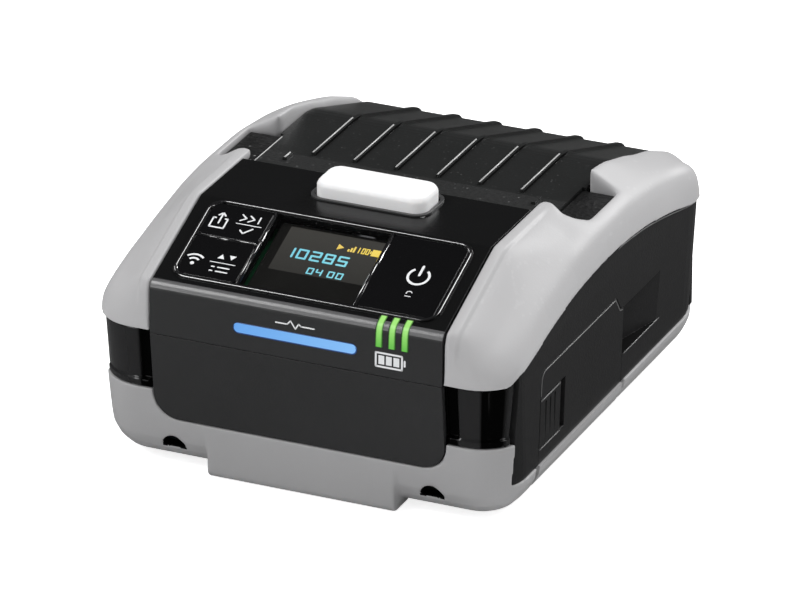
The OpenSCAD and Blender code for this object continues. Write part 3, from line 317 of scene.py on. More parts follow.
def surface(name, base, rough, scale=1.0, bump=0.3, depth=0.00004, metallic=0.0, tint=0.12, rough_span=0.08,
            edge=None, round_edge=0.00018, coat=0.0, coat_rough=0.03, specular=0.5, group=GRAIN, sub=0.0,
            ior=1.45, glints=None, mask=None, lift=0.0):
    tree, shader = new_material(name)
    coord = object_coord(tree)
    grain = placed(tree, group, Vector=coord, **({"Scale": scale} if group == GRAIN else {}))
    colour = mix_colour(tree, grain["Tint"], tuple(c * (1 - tint) for c in base),
                        tuple(min(1, c * (1 + tint)) for c in base))
    if edge:
        amount, edge_colour = edge
        pointiness = tree.nodes.new("ShaderNodeNewGeometry").outputs["Pointiness"]
        worn = placed(tree, WEAR, Vector=coord, Pointiness=pointiness, Amount=amount)
        colour = mix_colour(tree, worn["Mask"], colour, edge_colour)
    # Painted glints: small lighter dots where a grain would catch the light.
    if glints:
        amount, glint_scale = glints
        lit = placed(tree, GLINT_MASK, Vector=coord, Scale=glint_scale, Amount=amount)
        colour = mix_colour(tree, lit["Mask"], colour, GLINT_COLOUR)
    for label, value in (("Metallic", metallic), ("Coat Weight", coat), ("Coat Roughness", coat_rough),
                         ("Specular IOR Level", specular), ("IOR", ior), ("Subsurface Weight", sub)):
        shader.inputs[label].default_value = value
    # Painted reflection: the mask darkens the colour and the gloss where the mirrored bands are dark.
    if mask:
        pale = mask(tree, coord)
        colour = mix_colour(tree, pale, tuple(c * MASKED_SHARE for c in base), colour)
        gloss = math_node(tree, "MULTIPLY", math_node(tree, "ADD", pale, MASKED_GLOSS), specular)
        tree.links.new(gloss, shader.inputs["Specular IOR Level"])
    tree.links.new(colour, shader.inputs["Base Color"])
    tree.links.new(spread(tree, noise(tree, coord, 90 * scale, 4, 0.65), max(0.0, rough - rough_span),
                          min(1.0, rough + rough_span)), shader.inputs["Roughness"])
    if sub:
        shader.inputs["Subsurface Radius"].default_value = (0.0012, 0.001, 0.0009)
        shader.inputs["Subsurface Scale"].default_value = 1.0
    # Painted light: a faint glow in the base colour brightens a white that the lamps alone leave grey.
    if lift:
        shader.inputs["Emission Color"].default_value = (*base, 1)
        shader.inputs["Emission Strength"].default_value = lift
    relief(tree, shader, grain["Height"], bump, depth, round_edge, coat > 0)


print("material maker ready")

# %% [markdown]
# The corner pillars are piano black. Their reflections are painted as upright bands: dark beside the front
# plate and round the right corner, paler between. The mask puts those painted reflection bands where the
# photograph has them.

# %% Painted reflection bands on the corner pillars
PILLAR_CENTRE = P(33.7, 9.7, 0)
PER_QUARTER_TURN = 2 / math.pi


def painted_reflection_bands(tree, coord):
    """White where the painted reflection on a pillar is pale, by the distance from the middle and the turn
    round the corner.
    """
    x, y, _ = split_xyz(tree, coord)
    open_side = spread(tree, math_node(tree, "ABSOLUTE", x), 0, 1, 0.0330, 0.0334)
    turn = math_node(tree, "ARCTAN2", math_node(tree, "SUBTRACT", x, PILLAR_CENTRE.x),
                     math_node(tree, "SUBTRACT", PILLAR_CENTRE.y, y))
    bands = ramp(tree, math_node(tree, "MULTIPLY", turn, PER_QUARTER_TURN),
                 [(0.27, WHITE), (0.31, BLACK), (0.6, BLACK), (0.68, WHITE)])
    return math_node(tree, "MULTIPLY", open_side, bands)


# Painted reflection: the bands darken the pillars' colour and gloss.
surface("pillar_black", (0.017, 0.017, 0.0175), 0.12, bump=0.02, tint=0.1, rough_span=0.03, round_edge=0.0,
        mask=painted_reflection_bands)
print("pillar centre", [round(v, 4) for v in PILLAR_CENTRE])

# %% [markdown]
# The outer plastics follow the photograph: pale grey bumpers with a fine grain, dark satin covers, piano
# black on the panel, a lid with a coarser texture, lighter colours that paint highlights on edges, and a
# glossier finish for bevels.

# %% Outer plastics
surface("bumper_plastic", (0.46, 0.457, 0.462), 0.46, bump=0.35, tint=0.03, edge=(0.25, (0.62, 0.62, 0.62)),
        round_edge=0.0)
surface("base_plastic", (0.37, 0.368, 0.372), 0.5, bump=0.4, tint=0.04, edge=(0.3, (0.5, 0.5, 0.5)),
        round_edge=0.0)
surface("strip_plastic", (0.37, 0.368, 0.372), 0.5, bump=0.4, tint=0.04)
surface("front_plastic", (0.029, 0.0293, 0.030), 0.42, bump=0.5, tint=0.15, depth=0.00005)
surface("cover_plastic", (0.030, 0.0304, 0.031), 0.34, bump=0.35, tint=0.12)
surface("side_plastic", (0.014, 0.014, 0.0145), 0.5, bump=0.6, tint=0.18, depth=0.00007, round_edge=0.0002)
surface("piano_black", (0.0065, 0.0066, 0.0068), 0.24, bump=0.02, tint=0.2, rough_span=0.05, ior=1.3,
        round_edge=0.0002)
surface("key_black", (0.004, 0.004, 0.0045), 0.14, bump=0.03, tint=0.2, rough_span=0.04, coat=0.5,
        round_edge=0.0002)
surface("lid_plastic", (0.015, 0.0157, 0.0155), 0.36, bump=0.6, tint=0.18, depth=0.00005, round_edge=0.0,
        glints=(0.16, 1500))
surface("lid_strip_plastic", (0.018, 0.0185, 0.0185), 0.46, scale=0.45, bump=1.0, tint=0.25, depth=0.00016,
        round_edge=0.0, glints=(0.3, 1100))
surface("cheek_plastic", (0.004, 0.004, 0.0042), 0.5, scale=0.45, bump=1.0, tint=0.25, depth=0.00022,
        round_edge=0.0002, glints=(0.55, 1000))
# Painted light: the white button glows faintly through its lift, so that it reads white.
surface("button_white", (0.80, 0.80, 0.802), 0.4, bump=0.3, tint=0.03, sub=0.15, round_edge=0.0, lift=0.2)
surface("collar_grey", (0.06, 0.06, 0.061), 0.35, bump=0.3)
# Painted shade: a dull black for hollows and rib flanks that light hardly reaches.
surface("painted_shade_black", (0.002, 0.002, 0.002), 0.8, bump=0.5, specular=0.1, round_edge=0.0)
surface("edge_gloss", (0.05, 0.05, 0.052), 0.24, bump=0.05, tint=0.1, rough_span=0.05, round_edge=0.0,
        ior=1.8, coat=1.0, coat_rough=0.15)
surface("ridge_black", (0.008, 0.008, 0.009), 0.16, bump=0.02, tint=0.2, rough_span=0.03, coat=1.0,
        round_edge=0.0, ior=2.1)
# Painted highlight: a lighter colour for the rounded brow of the front cover.
surface("brow_painted_highlight", (0.10, 0.10, 0.102), 0.3, bump=0.25, tint=0.08, ior=1.7)
# Painted highlights: light colours for the fine beads along thin edges.
surface("edge_painted_highlight", (0.54, 0.54, 0.535), 0.3, bump=0.1, tint=0.12, round_edge=0.0)
# Painted highlights: a faint light colour for the beads on the right side.
surface("faint_painted_highlight", (0.15, 0.15, 0.15), 0.3, bump=0.1, tint=0.15, round_edge=0.0)
surface("print_white", (0.82, 0.83, 0.84), 0.5, bump=0.1, tint=0.03, round_edge=0.0)
print("outer finishes", len(SURFACE))

# %% [markdown]
# What shows when the lid, the port cover or the battery is out: dull inner plastics and rubbers, drawn and
# cast metals, white nylon gears, and green boards under clear lacquer.

# %% Inner finishes
surface("inner_black", (0.018, 0.018, 0.019), 0.52, bump=0.6, tint=0.2, depth=0.00006)
surface("guide_grey", (0.06, 0.06, 0.065), 0.5, bump=0.5)
surface("gear_white", (0.72, 0.71, 0.66), 0.42, bump=0.2, tint=0.05, sub=0.1)
surface("rubber_black", (0.022, 0.022, 0.023), 0.78, scale=0.7, bump=0.9, tint=0.2, depth=0.00008,
        specular=0.35)
surface("platen_rubber", (0.03, 0.03, 0.032), 0.7, scale=1.2, bump=0.7, tint=0.15, depth=0.00005,
        specular=0.35)
surface("steel", (0.52, 0.53, 0.55), 0.32, metallic=1.0, group=METAL, bump=0.25, rough_span=0.1)
surface("spring_steel", (0.42, 0.43, 0.45), 0.26, metallic=1.0, group=METAL, bump=0.2, tint=0.15,
        rough_span=0.1)
surface("screw_steel", (0.09, 0.09, 0.095), 0.38, metallic=1.0, group=METAL, bump=0.3, tint=0.2,
        rough_span=0.1)
surface("bronze", (0.55, 0.34, 0.14), 0.4, metallic=1.0, group=METAL, bump=0.3, tint=0.15, rough_span=0.1)
surface("contact_gold", (0.85, 0.6, 0.2), 0.24, metallic=1.0, group=METAL, bump=0.15, tint=0.08)
surface("cast_aluminium", (0.6, 0.61, 0.63), 0.45, metallic=1.0, bump=0.5, tint=0.08,
        rough_span=0.12)
surface("head_ceramic", (0.62, 0.58, 0.46), 0.28, bump=0.1, tint=0.05)
surface("solder_mask", (0.012, 0.09, 0.035), 0.3, scale=2.0, bump=0.3, tint=0.25, coat=0.3)
surface("shield_can", (0.55, 0.56, 0.57), 0.36, metallic=1.0, group=METAL, bump=0.2)
surface("cell_sleeve", (0.02, 0.12, 0.34), 0.3, bump=0.15, tint=0.08, coat=0.3)
surface("display_mask", (0.010, 0.0098, 0.009), 0.3, bump=0.05, tint=0.1)
print("finishes", len(SURFACE))

# %% [markdown]
# The light bar, the battery lights and the display are lit from behind through frosted plastic. Lamps behind
# clear pieces would be slow and noisy. So the plastic itself glows: a little uneven, brighter toward one end,
# and darker between the lamps where it hides a row of them.

# %% Lit plastics
GLOW_ROUGHNESS, GLOW_UNEVEN, BETWEEN_LAMPS = 0.35, 0.12, 0.25


def lamp_sides(tree, x, first, pitch, half):
    """White toward the sides of each lamp in a row, and black in its middle."""
    along = math_node(tree, "DIVIDE", math_node(tree, "SUBTRACT", x, first - pitch / 2), pitch)
    aside = math_node(tree, "ABSOLUTE", math_node(tree, "SUBTRACT", math_node(tree, "FRACT", along), 0.5))
    return ramp(tree, math_node(tree, "MULTIPLY", aside, pitch / half), [(0.6, BLACK), (0.95, WHITE)])


def glow(name, low, high, strength, axis, start, end, body=(0.2, 0.2, 0.2), lamps=None):
    """A lit, frosted plastic. Its brightness runs from low to high between two places on one axis, in
    metres. `lamps` gives the first centre, the pitch and the half width of a row of lamps."""
    tree, shader = new_material(name)
    coord = object_coord(tree)
    sides = split_xyz(tree, coord)
    speck = math_node(tree, "MULTIPLY", noise(tree, coord, 1500, 2, 0.5), GLOW_UNEVEN)
    blend = math_node(tree, "ADD", spread(tree, sides[axis], 0, 1, start, end),
                      math_node(tree, "SUBTRACT", speck, GLOW_UNEVEN / 2), True)
    colour = mix_colour(tree, blend, low, high)
    if lamps:
        colour = mix_colour(tree, lamp_sides(tree, sides["X"], *lamps), colour,
                            tuple(c * BETWEEN_LAMPS for c in low))
    tree.links.new(colour, shader.inputs["Emission Color"])
    shader.inputs["Emission Strength"].default_value = strength
    shader.inputs["Base Color"].default_value = (*body, 1)
    shader.inputs["Roughness"].default_value = GLOW_ROUGHNESS


BAR_HALF = 0.0128
glow("status_glow", (0.13, 0.38, 0.84), (0.24, 0.53, 0.95), 0.88, "X", -BAR_HALF, BAR_HALF,
     body=(0.03, 0.06, 0.12))
glow("status_rim", (0.012, 0.05, 0.2), (0.02, 0.08, 0.28), 0.7, "X", -BAR_HALF, BAR_HALF,
     body=(0.01, 0.02, 0.05))
glow("battery_glow", (0.10, 0.46, 0.05), (0.42, 0.84, 0.22), 0.95, "Z", 0.0355, 0.0412,
     body=(0.03, 0.08, 0.02), lamps=(0.0174, 0.00266, 0.00067))
glow("cyan_glow", (0.10, 0.60, 0.78), (0.16, 0.72, 0.85), 0.95, "X", -0.011, 0.005)
glow("yellow_glow", (0.88, 0.58, 0.0), (0.98, 0.72, 0.0), 0.95, "X", 0.0, 0.011)
glow("field_glow", (0.030, 0.029, 0.026), (0.058, 0.056, 0.050), 1.0, "Z", 0.042, 0.048,
     body=(0.01, 0.01, 0.01))
print("lit plastics", [name for name in SURFACE if "glow" in name or "rim" in name])

# %% [markdown]
# The display lies under a smoked window. A glass shader would bend the light and darken what lies close
# below. A see-through shader with a thin gloss on top, strongest at a flat angle, reads the same and keeps
# the display clear. Fresnel and Backfacing stay in the material, because the export can't read them in a
# group.

# %% Smoked window
WINDOW_TINT, WINDOW_IOR = (0.93, 0.93, 0.93, 1), 1.45


def either(tree, share, first, second):
    """The first shader where the share is 0, the second where it is 1."""
    mix = tree.nodes.new("ShaderNodeMixShader")
    for socket, value in zip(mix.inputs, (share, first, second)):
        tree.links.new(value, socket)
    return mix.outputs[0]


def window_material(name):
    tree, _ = new_material(name)
    tree.nodes.clear()
    clear = tree.nodes.new("ShaderNodeBsdfTransparent")
    clear.inputs[0].default_value = WINDOW_TINT
    gloss = tree.nodes.new("ShaderNodeBsdfGlossy")
    smudges = noise(tree, object_coord(tree), 120, 3, 0.6)
    tree.links.new(spread(tree, smudges, 0.03, 0.08), gloss.inputs["Roughness"])
    fresnel = tree.nodes.new("ShaderNodeFresnel")
    fresnel.inputs[0].default_value = WINDOW_IOR
    inner_side = tree.nodes.new("ShaderNodeNewGeometry").outputs["Backfacing"]
    share = math_node(tree, "MULTIPLY", fresnel.outputs[0], math_node(tree, "SUBTRACT", 1.0, inner_side))
    out = tree.nodes.new("ShaderNodeOutputMaterial")
    tree.links.new(either(tree, share, clear.outputs[0], gloss.outputs[0]), out.inputs[0])


window_material("smoked_window")
print("materials", len(SURFACE))

# %% [markdown]
# Solids whose shape is already right keep their mesh and only take a material. The others get a copy that
# stands in for them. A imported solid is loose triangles, so its copy is first merged at the seams, and then
# its faces are turned outward.

# %% Copies of the solids
SEAM = 1e-6


def finished(bm, name):
    """The mesh of a bmesh, with its faces turned outward."""
    bmesh.ops.recalc_face_normals(bm, faces=bm.faces)
    mesh = bpy.data.meshes.new(name)
    bm.to_mesh(mesh)
    bm.free()
    return mesh


def clean_mesh(node, blocks=()):
    """A copy of a solid's mesh. Blocks, given by two corners, overlap it and join it in a remesh."""
    bm = bmesh.new()
    bm.from_mesh(NODES[node].data)
    bmesh.ops.remove_doubles(bm, verts=bm.verts, dist=SEAM)
    for low, high in blocks:
        made = bmesh.ops.create_cube(bm, size=1.0)["verts"]
        bmesh.ops.scale(bm, vec=(high - low), verts=made)
        bmesh.ops.translate(bm, vec=(low + high) / 2, verts=made)
    return finished(bm, node + "_skin")


def add_object(name, mesh, body, material, slot, replaced=()):
    obj = bpy.data.objects.new(name, mesh)
    bpy.context.scene.collection.objects.link(obj)
    obj.data.materials.clear()
    obj.data.materials.append(SURFACE[material])
    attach(obj, body)
    if replaced:
        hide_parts(*replaced)
    return obj


def slot_of(node):
    return next(s["material_slot"] for s in frame["record"]["subparts"] if s["node"] == node)


def stand_in(node, ending, mesh, material):
    """A piece that takes a solid's place, on its body."""
    return add_object(node + ending, mesh, BODY_OF[node], material, slot_of(node), (node,))


# %% [markdown]
# Some shapes are easier to say with numbers than to pull by hand, such as a rim that stands 0.3 mm proud
# along one line. These helpers read a mesh's points in drawing millimetres, move them all at once, and fade
# one shape into the next. `after_modifiers` fixes what the modifiers have made so far.

# %% Points and modifiers
def coordinates(mesh):
    co = np.empty(len(mesh.vertices) * 3)
    mesh.vertices.foreach_get("co", co)
    co = co.reshape(-1, 3) / MM
    co[:, 1] -= FRONT_Y / MM
    return co


def move(mesh, co):
    co = co.copy()
    co[:, 1] += FRONT_Y / MM
    mesh.vertices.foreach_set("co", (co * MM).ravel())
    mesh.update()


def step_up(value, start, end):
    """0 before the start, 1 past the end, and a soft S between them."""
    t = np.clip((value - start) / (end - start), 0, 1)
    return t * t * (3 - 2 * t)


def at_work(mesh):
    work = bpy.data.objects.new("work", mesh)
    bpy.context.scene.collection.objects.link(work)
    return work


def after_modifiers(work, name):
    """The mesh that an object's modifiers give, with the object and its old mesh removed."""
    graph = bpy.context.evaluated_depsgraph_get()
    result = bpy.data.meshes.new_from_object(work.evaluated_get(graph))
    result.name = name
    old = work.data
    bpy.data.objects.remove(work)
    bpy.data.meshes.remove(old)
    return result


print("soft step at a quarter, half and three quarters", step_up(np.array([0.25, 0.5, 0.75]), 0, 1))

# %% [markdown]
# A moulded shell has no sharp edge anywhere, and its faces flow into each other. Bevelling each edge of these
# solids would fail where many small facets meet. So the copy is rebuilt from fine voxels, and a Smooth
# modifier relaxes it. A vertex group lets some parts relax for longer than others.

# %% Moulded copies
MELT_LEVELS, MELT_STEPS = 24, 800


def relax(work, steps, group=""):
    smooth = work.modifiers.new("relax", "SMOOTH")
    smooth.factor = 0.5
    smooth.iterations = steps
    smooth.vertex_group = group


def melt_into(work, melt):
    """A long relaxing, of which each point takes the share that `melt` gives for its |x|, y and z."""
    co = coordinates(work.data)
    share = np.round(melt(np.abs(co[:, 0]), co[:, 1], co[:, 2]) * MELT_LEVELS).astype(int)
    group = work.vertex_groups.new(name="melt")
    for level in range(1, MELT_LEVELS + 1):
        chosen = np.nonzero(share == level)[0]
        if len(chosen):
            group.add(chosen.tolist(), level / MELT_LEVELS, "REPLACE")
    relax(work, MELT_STEPS, "melt")


def moulded(node, material, voxel, steps, faces=None, melt=None, shape=None, settle=0, blocks=()):
    """A finely rounded copy of a solid, which stands in for it. `melt` turns the creases between facets into
    one flowing surface, and `shape` then moves the points by their places and normals."""
    work = at_work(clean_mesh(node, blocks))
    remesh = work.modifiers.new("voxels", "REMESH")
    remesh.mode = "VOXEL"
    remesh.voxel_size = voxel * MM
    relax(work, steps)
    work = at_work(after_modifiers(work, node + "_voxels"))
    if melt:
        melt_into(work, melt)
    if shape:
        work = at_work(after_modifiers(work, node + "_flowed"))
        normals = np.empty(len(work.data.vertices) * 3)
        work.data.vertex_normals.foreach_get("vector", normals)
        move(work.data, shape(coordinates(work.data), normals.reshape(-1, 3)))
    if settle:
        relax(work, settle)
    if faces and len(work.data.polygons) * 2 > faces:
        fewer = work.modifiers.new("fewer", "DECIMATE")
        fewer.ratio = faces / (len(work.data.polygons) * 2)
    result = after_modifiers(work, node + "_moulded")
    result.shade_smooth()
    print("moulded", node, len(result.polygons), "faces")
    return stand_in(node, "_moulded", result, material)


print("melt levels", MELT_LEVELS)

# %% [markdown]
# The pale upper bumpers meet the dark side wall in one long curve. The solids follow it with a dozen straight
# pieces. Both are bent to a softened copy of that line, so they still meet, and its corners are gone.

# %% Line between bumper and side wall
LOWER_EDGE = np.array([(-2, 29.7), (4, 29.9), (6.8, 31.5), (16.4, 33.6), (21.2, 35), (35, 37.2), (50, 38.1),
                       (61, 37.7), (71, 36.7), (81.5, 34.8), (93, 32.2), (114, 28.5)])
EDGE_Y = np.arange(-30, 145, 0.5)
EDGE_Z = np.interp(EDGE_Y, LOWER_EDGE[:, 0], LOWER_EDGE[:, 1])
SPREAD = np.exp(-0.5 * (np.arange(-20, 20.5, 0.5) / 4.5) ** 2)
SOFT_Z = np.convolve(EDGE_Z, SPREAD / SPREAD.sum(), "same")


def even_edge(co):
    """Takes the corners out of the line between the upper bumpers and the side wall."""
    y = co[:, 1]
    line = np.interp(y, EDGE_Y, EDGE_Z)
    lift = np.interp(y, EDGE_Y, SOFT_Z) - line
    near = 1 - step_up(np.abs(co[:, 2] - line), 1.2, 7)
    co[:, 2] += lift * near * step_up(y, 9, 16) * (1 - step_up(y, 96, 104))
    return co


inside_ends = (EDGE_Y > 0) & (EDGE_Y < 110)
print("line moved by at most", round(float(np.abs(SOFT_Z - EDGE_Z)[inside_ends].max()), 2), "mm")

# %% [markdown]
# The bumpers are soft, full forms, yet their rims along the panel, the lid, the notches and the lower edge
# stay crisp. So the melt is 0 at those rims and grows with the distance from them. After it, the shape
# function raises the rim beside the panel, fills the rear corner, and holds the sides within the solid's
# width.

# %% Flow of the bumpers
RIM_WIDTH, NOTCH_X, NOTCH_FRONT, NOTCH_BACK = 3.0, 39.4, 46.6, 64.9
SIDE_LIMIT, SIDE_GIVE = 43.6, 0.38


def bumper_melt(x, y, z):
    """0 at the rims, which only lose their sharpness, and 1 on the open faces."""
    inner = np.where(y < 50, x - 31.4, x - 33.6)
    lower = z - np.interp(y, EDGE_Y, EDGE_Z) - 0.3
    notch = np.hypot(np.maximum(x - NOTCH_X, 0), np.maximum(np.maximum(NOTCH_FRONT - y, y - NOTCH_BACK), 0))
    least = np.where(y > 46, 0.15, 0.085) + 0.10 * step_up(y, 66, 76)
    open_share = np.maximum(np.minimum(inner, notch) / RIM_WIDTH, least)
    return np.clip(np.minimum(open_share, lower / RIM_WIDTH), 0, 1)


def left_bumper_melt(x, y, z):
    """The left notch has the rounder back wall."""
    round_wall = np.exp(-((x - 34) ** 2 + (y - 65) ** 2) / 10)
    return np.clip(bumper_melt(x, y, z) + 0.4 * round_wall, 0, 1)


def bumper_shape(co, normals):
    """The rim along the panel stands a little above the rest of the bumper. The back is full and round."""
    co = even_edge(co)
    x, y, z = np.abs(co[:, 0]), co[:, 1], co[:, 2]
    sunk = step_up(x, 32.7, 33.7) * (1 - step_up(y, 40, 46)) * step_up(z, 33, 38) * (1 - step_up(x, 38, 42))
    full = np.exp(-((co[:, 0] - 42) ** 2 + (y - 94) ** 2 + (z - 38.5) ** 2) / 34)
    co = co - normals * (0.32 * sunk - 0.8 * full)[:, None]
    rear = step_up(y, 84, 95) * (1 - step_up(y, 102, 109))
    co[:, 2] += 0.7 * rear * step_up(z, 32, 35) * (1 - step_up(x, 35, 40))
    past = np.maximum(np.abs(co[:, 0]) - SIDE_LIMIT, 0)
    co[:, 0] -= np.sign(co[:, 0]) * (past - SIDE_GIVE * np.tanh(past / SIDE_GIVE))
    return co


print("sides held within", round(SIDE_LIMIT + SIDE_GIVE, 2), "mm of the middle")

# %% [markdown]
# Each glossy corner pillar stands on a slightly wider foot, and a channel parts it from the front plate. Both
# steps are under a millimetre, so moving the points of the fine copy is simpler than cutting them.

# %% Foot and channel of the pillars
FOOT_OUT, CHANNEL_DEPTH = 0.42, 0.8


def pillar_shape(co, normals):
    x = np.abs(co[:, 0])
    outward = normals * [1, 1, 0]
    foot = 1 - step_up(co[:, 2], 18.5, 18.9)
    faces_out = (co[:, 1] < 3.0) | (x > 41.0) | (normals[:, 1] * (co[:, 1] < 5) < -0.2)
    co = co + outward * (FOOT_OUT * foot * faces_out * step_up(x, 31.0, 31.4))[:, None]
    channel = (1 - step_up(x, 32.9, 33.4)) * (1 - foot) * (normals[:, 1] < -0.5) * (co[:, 1] < 3.4)
    co[:, 1] += CHANNEL_DEPTH * channel
    return co


print("foot", FOOT_OUT, "mm, channel", CHANNEL_DEPTH, "mm")

# %% [markdown]
# Now the moulded shells are made. Finer voxels go where the eye is closest: the pillars and the white button.
# A small block joins each bumper before its remesh, because the wall behind the notch has to reach down to
# the textured cheek.

# %% Moulded shells
NOTCH_WALL = {"left": (P(-38.6, 64.65, 43.0), P(-34.0, 66.3, 45.3)),
              "right": (P(34.0, 64.65, 43.0), P(38.6, 66.3, 45.3))}
for side, melt in (("left", left_bumper_melt), ("right", bumper_melt)):
    moulded(side + "_upper_bumper", "bumper_plastic", voxel=0.24, steps=8, faces=170000, melt=melt,
            shape=bumper_shape, blocks=[NOTCH_WALL[side]])
    moulded(side + "_corner_pillar", "pillar_black", voxel=0.16, steps=10, shape=pillar_shape, settle=6)
case = moulded("lower_case", "base_plastic", voxel=0.32, steps=8, faces=190000)
moulded("release_button", "button_white", voxel=0.16, steps=26)

# %% [markdown]
# The side wall, the battery cap, the latch and the lid have flat faces that have to stay flat, so they aren't
# remeshed. Their copies keep the solid's facets, and curves are shaded smooth up to an angle. Only the edges
# that catch the light are bevelled, and the bevel takes a glossier finish.

# %% Smoothed copies
BEVELLED_TURN, FLAT_FACE = 0.5, 0.985


def cut_across(mesh, places):
    """New edges all round a mesh where y is each of these places."""
    bm = bmesh.new()
    bm.from_mesh(mesh)
    for y in places:
        everything = bm.verts[:] + bm.edges[:] + bm.faces[:]
        bmesh.ops.bisect_plane(bm, geom=everything, plane_co=P(0, y, 0), plane_no=(0, 1, 0), dist=SEAM)
    bm.to_mesh(mesh)
    bm.free()


def soften(mesh, chosen, size):
    """Bevels the outer edges whose two ends are chosen. The bevel takes the second material."""
    bm = bmesh.new()
    bm.from_mesh(mesh)
    edges = []
    for edge in bm.edges:
        if edge.is_manifold and edge.calc_face_angle_signed() > BEVELLED_TURN:
            a, b = ((v.co.x / MM, (v.co.y - FRONT_Y) / MM, v.co.z / MM) for v in edge.verts)
            if chosen(a, b):
                edges.append(edge)
    made = bmesh.ops.bevel(bm, geom=edges, offset=size * MM, segments=3, profile=0.5, affect="EDGES",
                           material=-1, clamp_overlap=True)
    for face in made["faces"]:
        face.material_index = 1
    bm.to_mesh(mesh)
    bm.free()
    return len(edges)


def smoothed(node, material, rounds, size=0.3, angle=24, cuts=(), shape=None):
    """A copy of a solid whose small facets shade as one curve, which stands in for it."""
    mesh = clean_mesh(node)
    cut_across(mesh, cuts)
    if shape:
        move(mesh, shape(coordinates(mesh)))
    rounded_edges = soften(mesh, rounds, size)
    mesh.shade_smooth()
    mesh.set_sharp_from_angle(angle=math.radians(angle))
    for polygon in mesh.polygons:
        if polygon.material_index == 0 and max(abs(c) for c in polygon.normal) > FLAT_FACE:
            polygon.use_smooth = False
    obj = stand_in(node, "_smoothed", mesh, material)
    mesh.materials.append(SURFACE["edge_gloss"])
    print("smoothed", node, len(mesh.polygons), "faces,", rounded_edges, "edges rounded")
    return obj


print("bevels go on edges that turn by over", round(math.degrees(BEVELLED_TURN)), "degrees")

# %% [markdown]
# The right wall's top edge bends with the bumper above it, so it is first cut across every 3 mm: a bend needs
# points to bend at. The battery cap and its latch have bevels only along their outer face.

# %% Side wall, battery cap and latch
def wall_edges(a, b):
    """The top edge of the right wall, and the lower lip of the scoop."""
    top = all(p[0] > 40.5 and abs(p[2] - np.interp(p[1], EDGE_Y, SOFT_Z)) < 1.6 and p[1] > 12 for p in (a, b))
    return top or all(p[0] > 42.3 and 13.6 < p[2] < 14.4 and 58 < p[1] < 79 for p in (a, b))


def along_wall(a, b):
    return min(a[0], b[0]) > 42.3 and abs(a[1] - b[1]) > 0.02


shell = smoothed("middle_case", "side_plastic", wall_edges, 0.25, cuts=np.arange(10, 106, 3.0),
                 shape=even_edge)
smoothed("battery_pack", "side_plastic", along_wall)
smoothed("battery_latch", "side_plastic", along_wall, 0.25)

# %% [markdown]
# The lid has six upright ribs, each 0.9 mm wide, with bevelled crests. It is cut across at a few places,
# because long thin triangles would shade unevenly. Behind the front strip, which is coarser, the ribs' shaded
# flanks are painted black. Painting is a second material on chosen faces, so no piece is split for it.

# %% Lid with rounded ribs
LID_TOP, RIBS, RIB_PITCH, RIB_HALF = 45.0, 6, 8.88, 0.45
LID_CUTS = (56.6, 62, 68, 73, 75, 75.6, 78.4, 81.2, 81.8, 84, 90, 96, 100)
STRIP_BACK, RIBS_BACK = 56.6, 80


def crest(a, b):
    """The top edges of the ribs in front of the bend, and the lid's left edge beside the cheek."""
    if abs(a[0] - b[0]) > 0.01 or min(a[2], b[2]) < LID_TOP - 0.2 or max(a[1], b[1]) > 79:
        return False
    beside = (a[0] + (RIBS - 1) / 2 * RIB_PITCH) % RIB_PITCH
    at_flank = min(abs(beside - RIB_HALF), abs(beside - RIB_PITCH + RIB_HALF)) < 0.02
    return (at_flank and abs(a[0]) < 24 and a[2] > LID_TOP + 0.3) or abs(a[0] + 31.9) < 0.1


def paint(obj, material, chosen):
    """Gives the faces whose centre and normal are chosen another material."""
    if material not in obj.data.materials:
        obj.data.materials.append(SURFACE[material])
    index = obj.data.materials.find(material)
    count = 0
    for polygon in obj.data.polygons:
        c, n = polygon.center, polygon.normal
        if chosen(c.x / MM, (c.y - FRONT_Y) / MM, c.z / MM, n):
            polygon.material_index = index
            count += 1
    print("painted", obj.name, material, count, "faces")


def among_ribs(x, y):
    return abs(x) < 25 and 57 < y < RIBS_BACK


lid = smoothed("lid_cover", "lid_plastic", crest, angle=28, cuts=LID_CUTS)
paint(lid, "lid_plastic", lambda x, y, z, n: among_ribs(x, y))
# Painted shade: the ribs' right flanks take the dull black.
paint(lid, "painted_shade_black", lambda x, y, z, n: among_ribs(x, y) and z > LID_TOP + 0.05 and n.x > 0.15)
paint(lid, "lid_strip_plastic", lambda x, y, z, n: 46 < y < STRIP_BACK and n.z > 0.3)

# %% [markdown]
# Two hollows look black because no light gets in: the small arches in the chin, and the finger scoop behind
# the battery. Their inner faces are painted a dull black as painted shade, which gives that depth from every
# side.

# %% Dark hollows
ARCH_X, ARCH_Z, ARCH_RADIUS = 27.1, 4.7, 2.5
paint(case, "painted_shade_black",
      lambda x, y, z, n: y < 9 and z > 4.45 and math.hypot(abs(x) - ARCH_X, z - ARCH_Z) < ARCH_RADIUS)
paint(shell, "painted_shade_black",
      lambda x, y, z, n: 59.4 < y < 77.6 and 13.4 < z < 16 and 38 < x < 43.1 and n.z > 0.3)

# %% [markdown]
# The front cover's brow has a painted highlight along its whole length. The cover's own facets stay, and
# those of its rounding take a lighter colour, which paints that highlight.

# %% Brow of the front cover
cover = stand_in("front_cover", "_skin", clean_mesh("front_cover"), "cover_plastic")
# Painted highlight on the brow's rounded faces.
paint(cover, "brow_painted_highlight", lambda x, y, z, n: 0.3 < n.z < 0.97 and n.y < -0.2)

# %% [markdown]
# Two coil springs lift the release button, and they get shorter as it is pressed. Bones or shape keys could
# do that. Here their copy is only shaded smooth and given a mesh of its own.

# %% Springs
coils = clean_mesh("button_springs")
coils.shade_smooth()
springs = stand_in("button_springs", "_wound", coils, "spring_steel")
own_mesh(springs)

# %% [markdown]
# The remaining solids keep their shape and take their finishes directly.

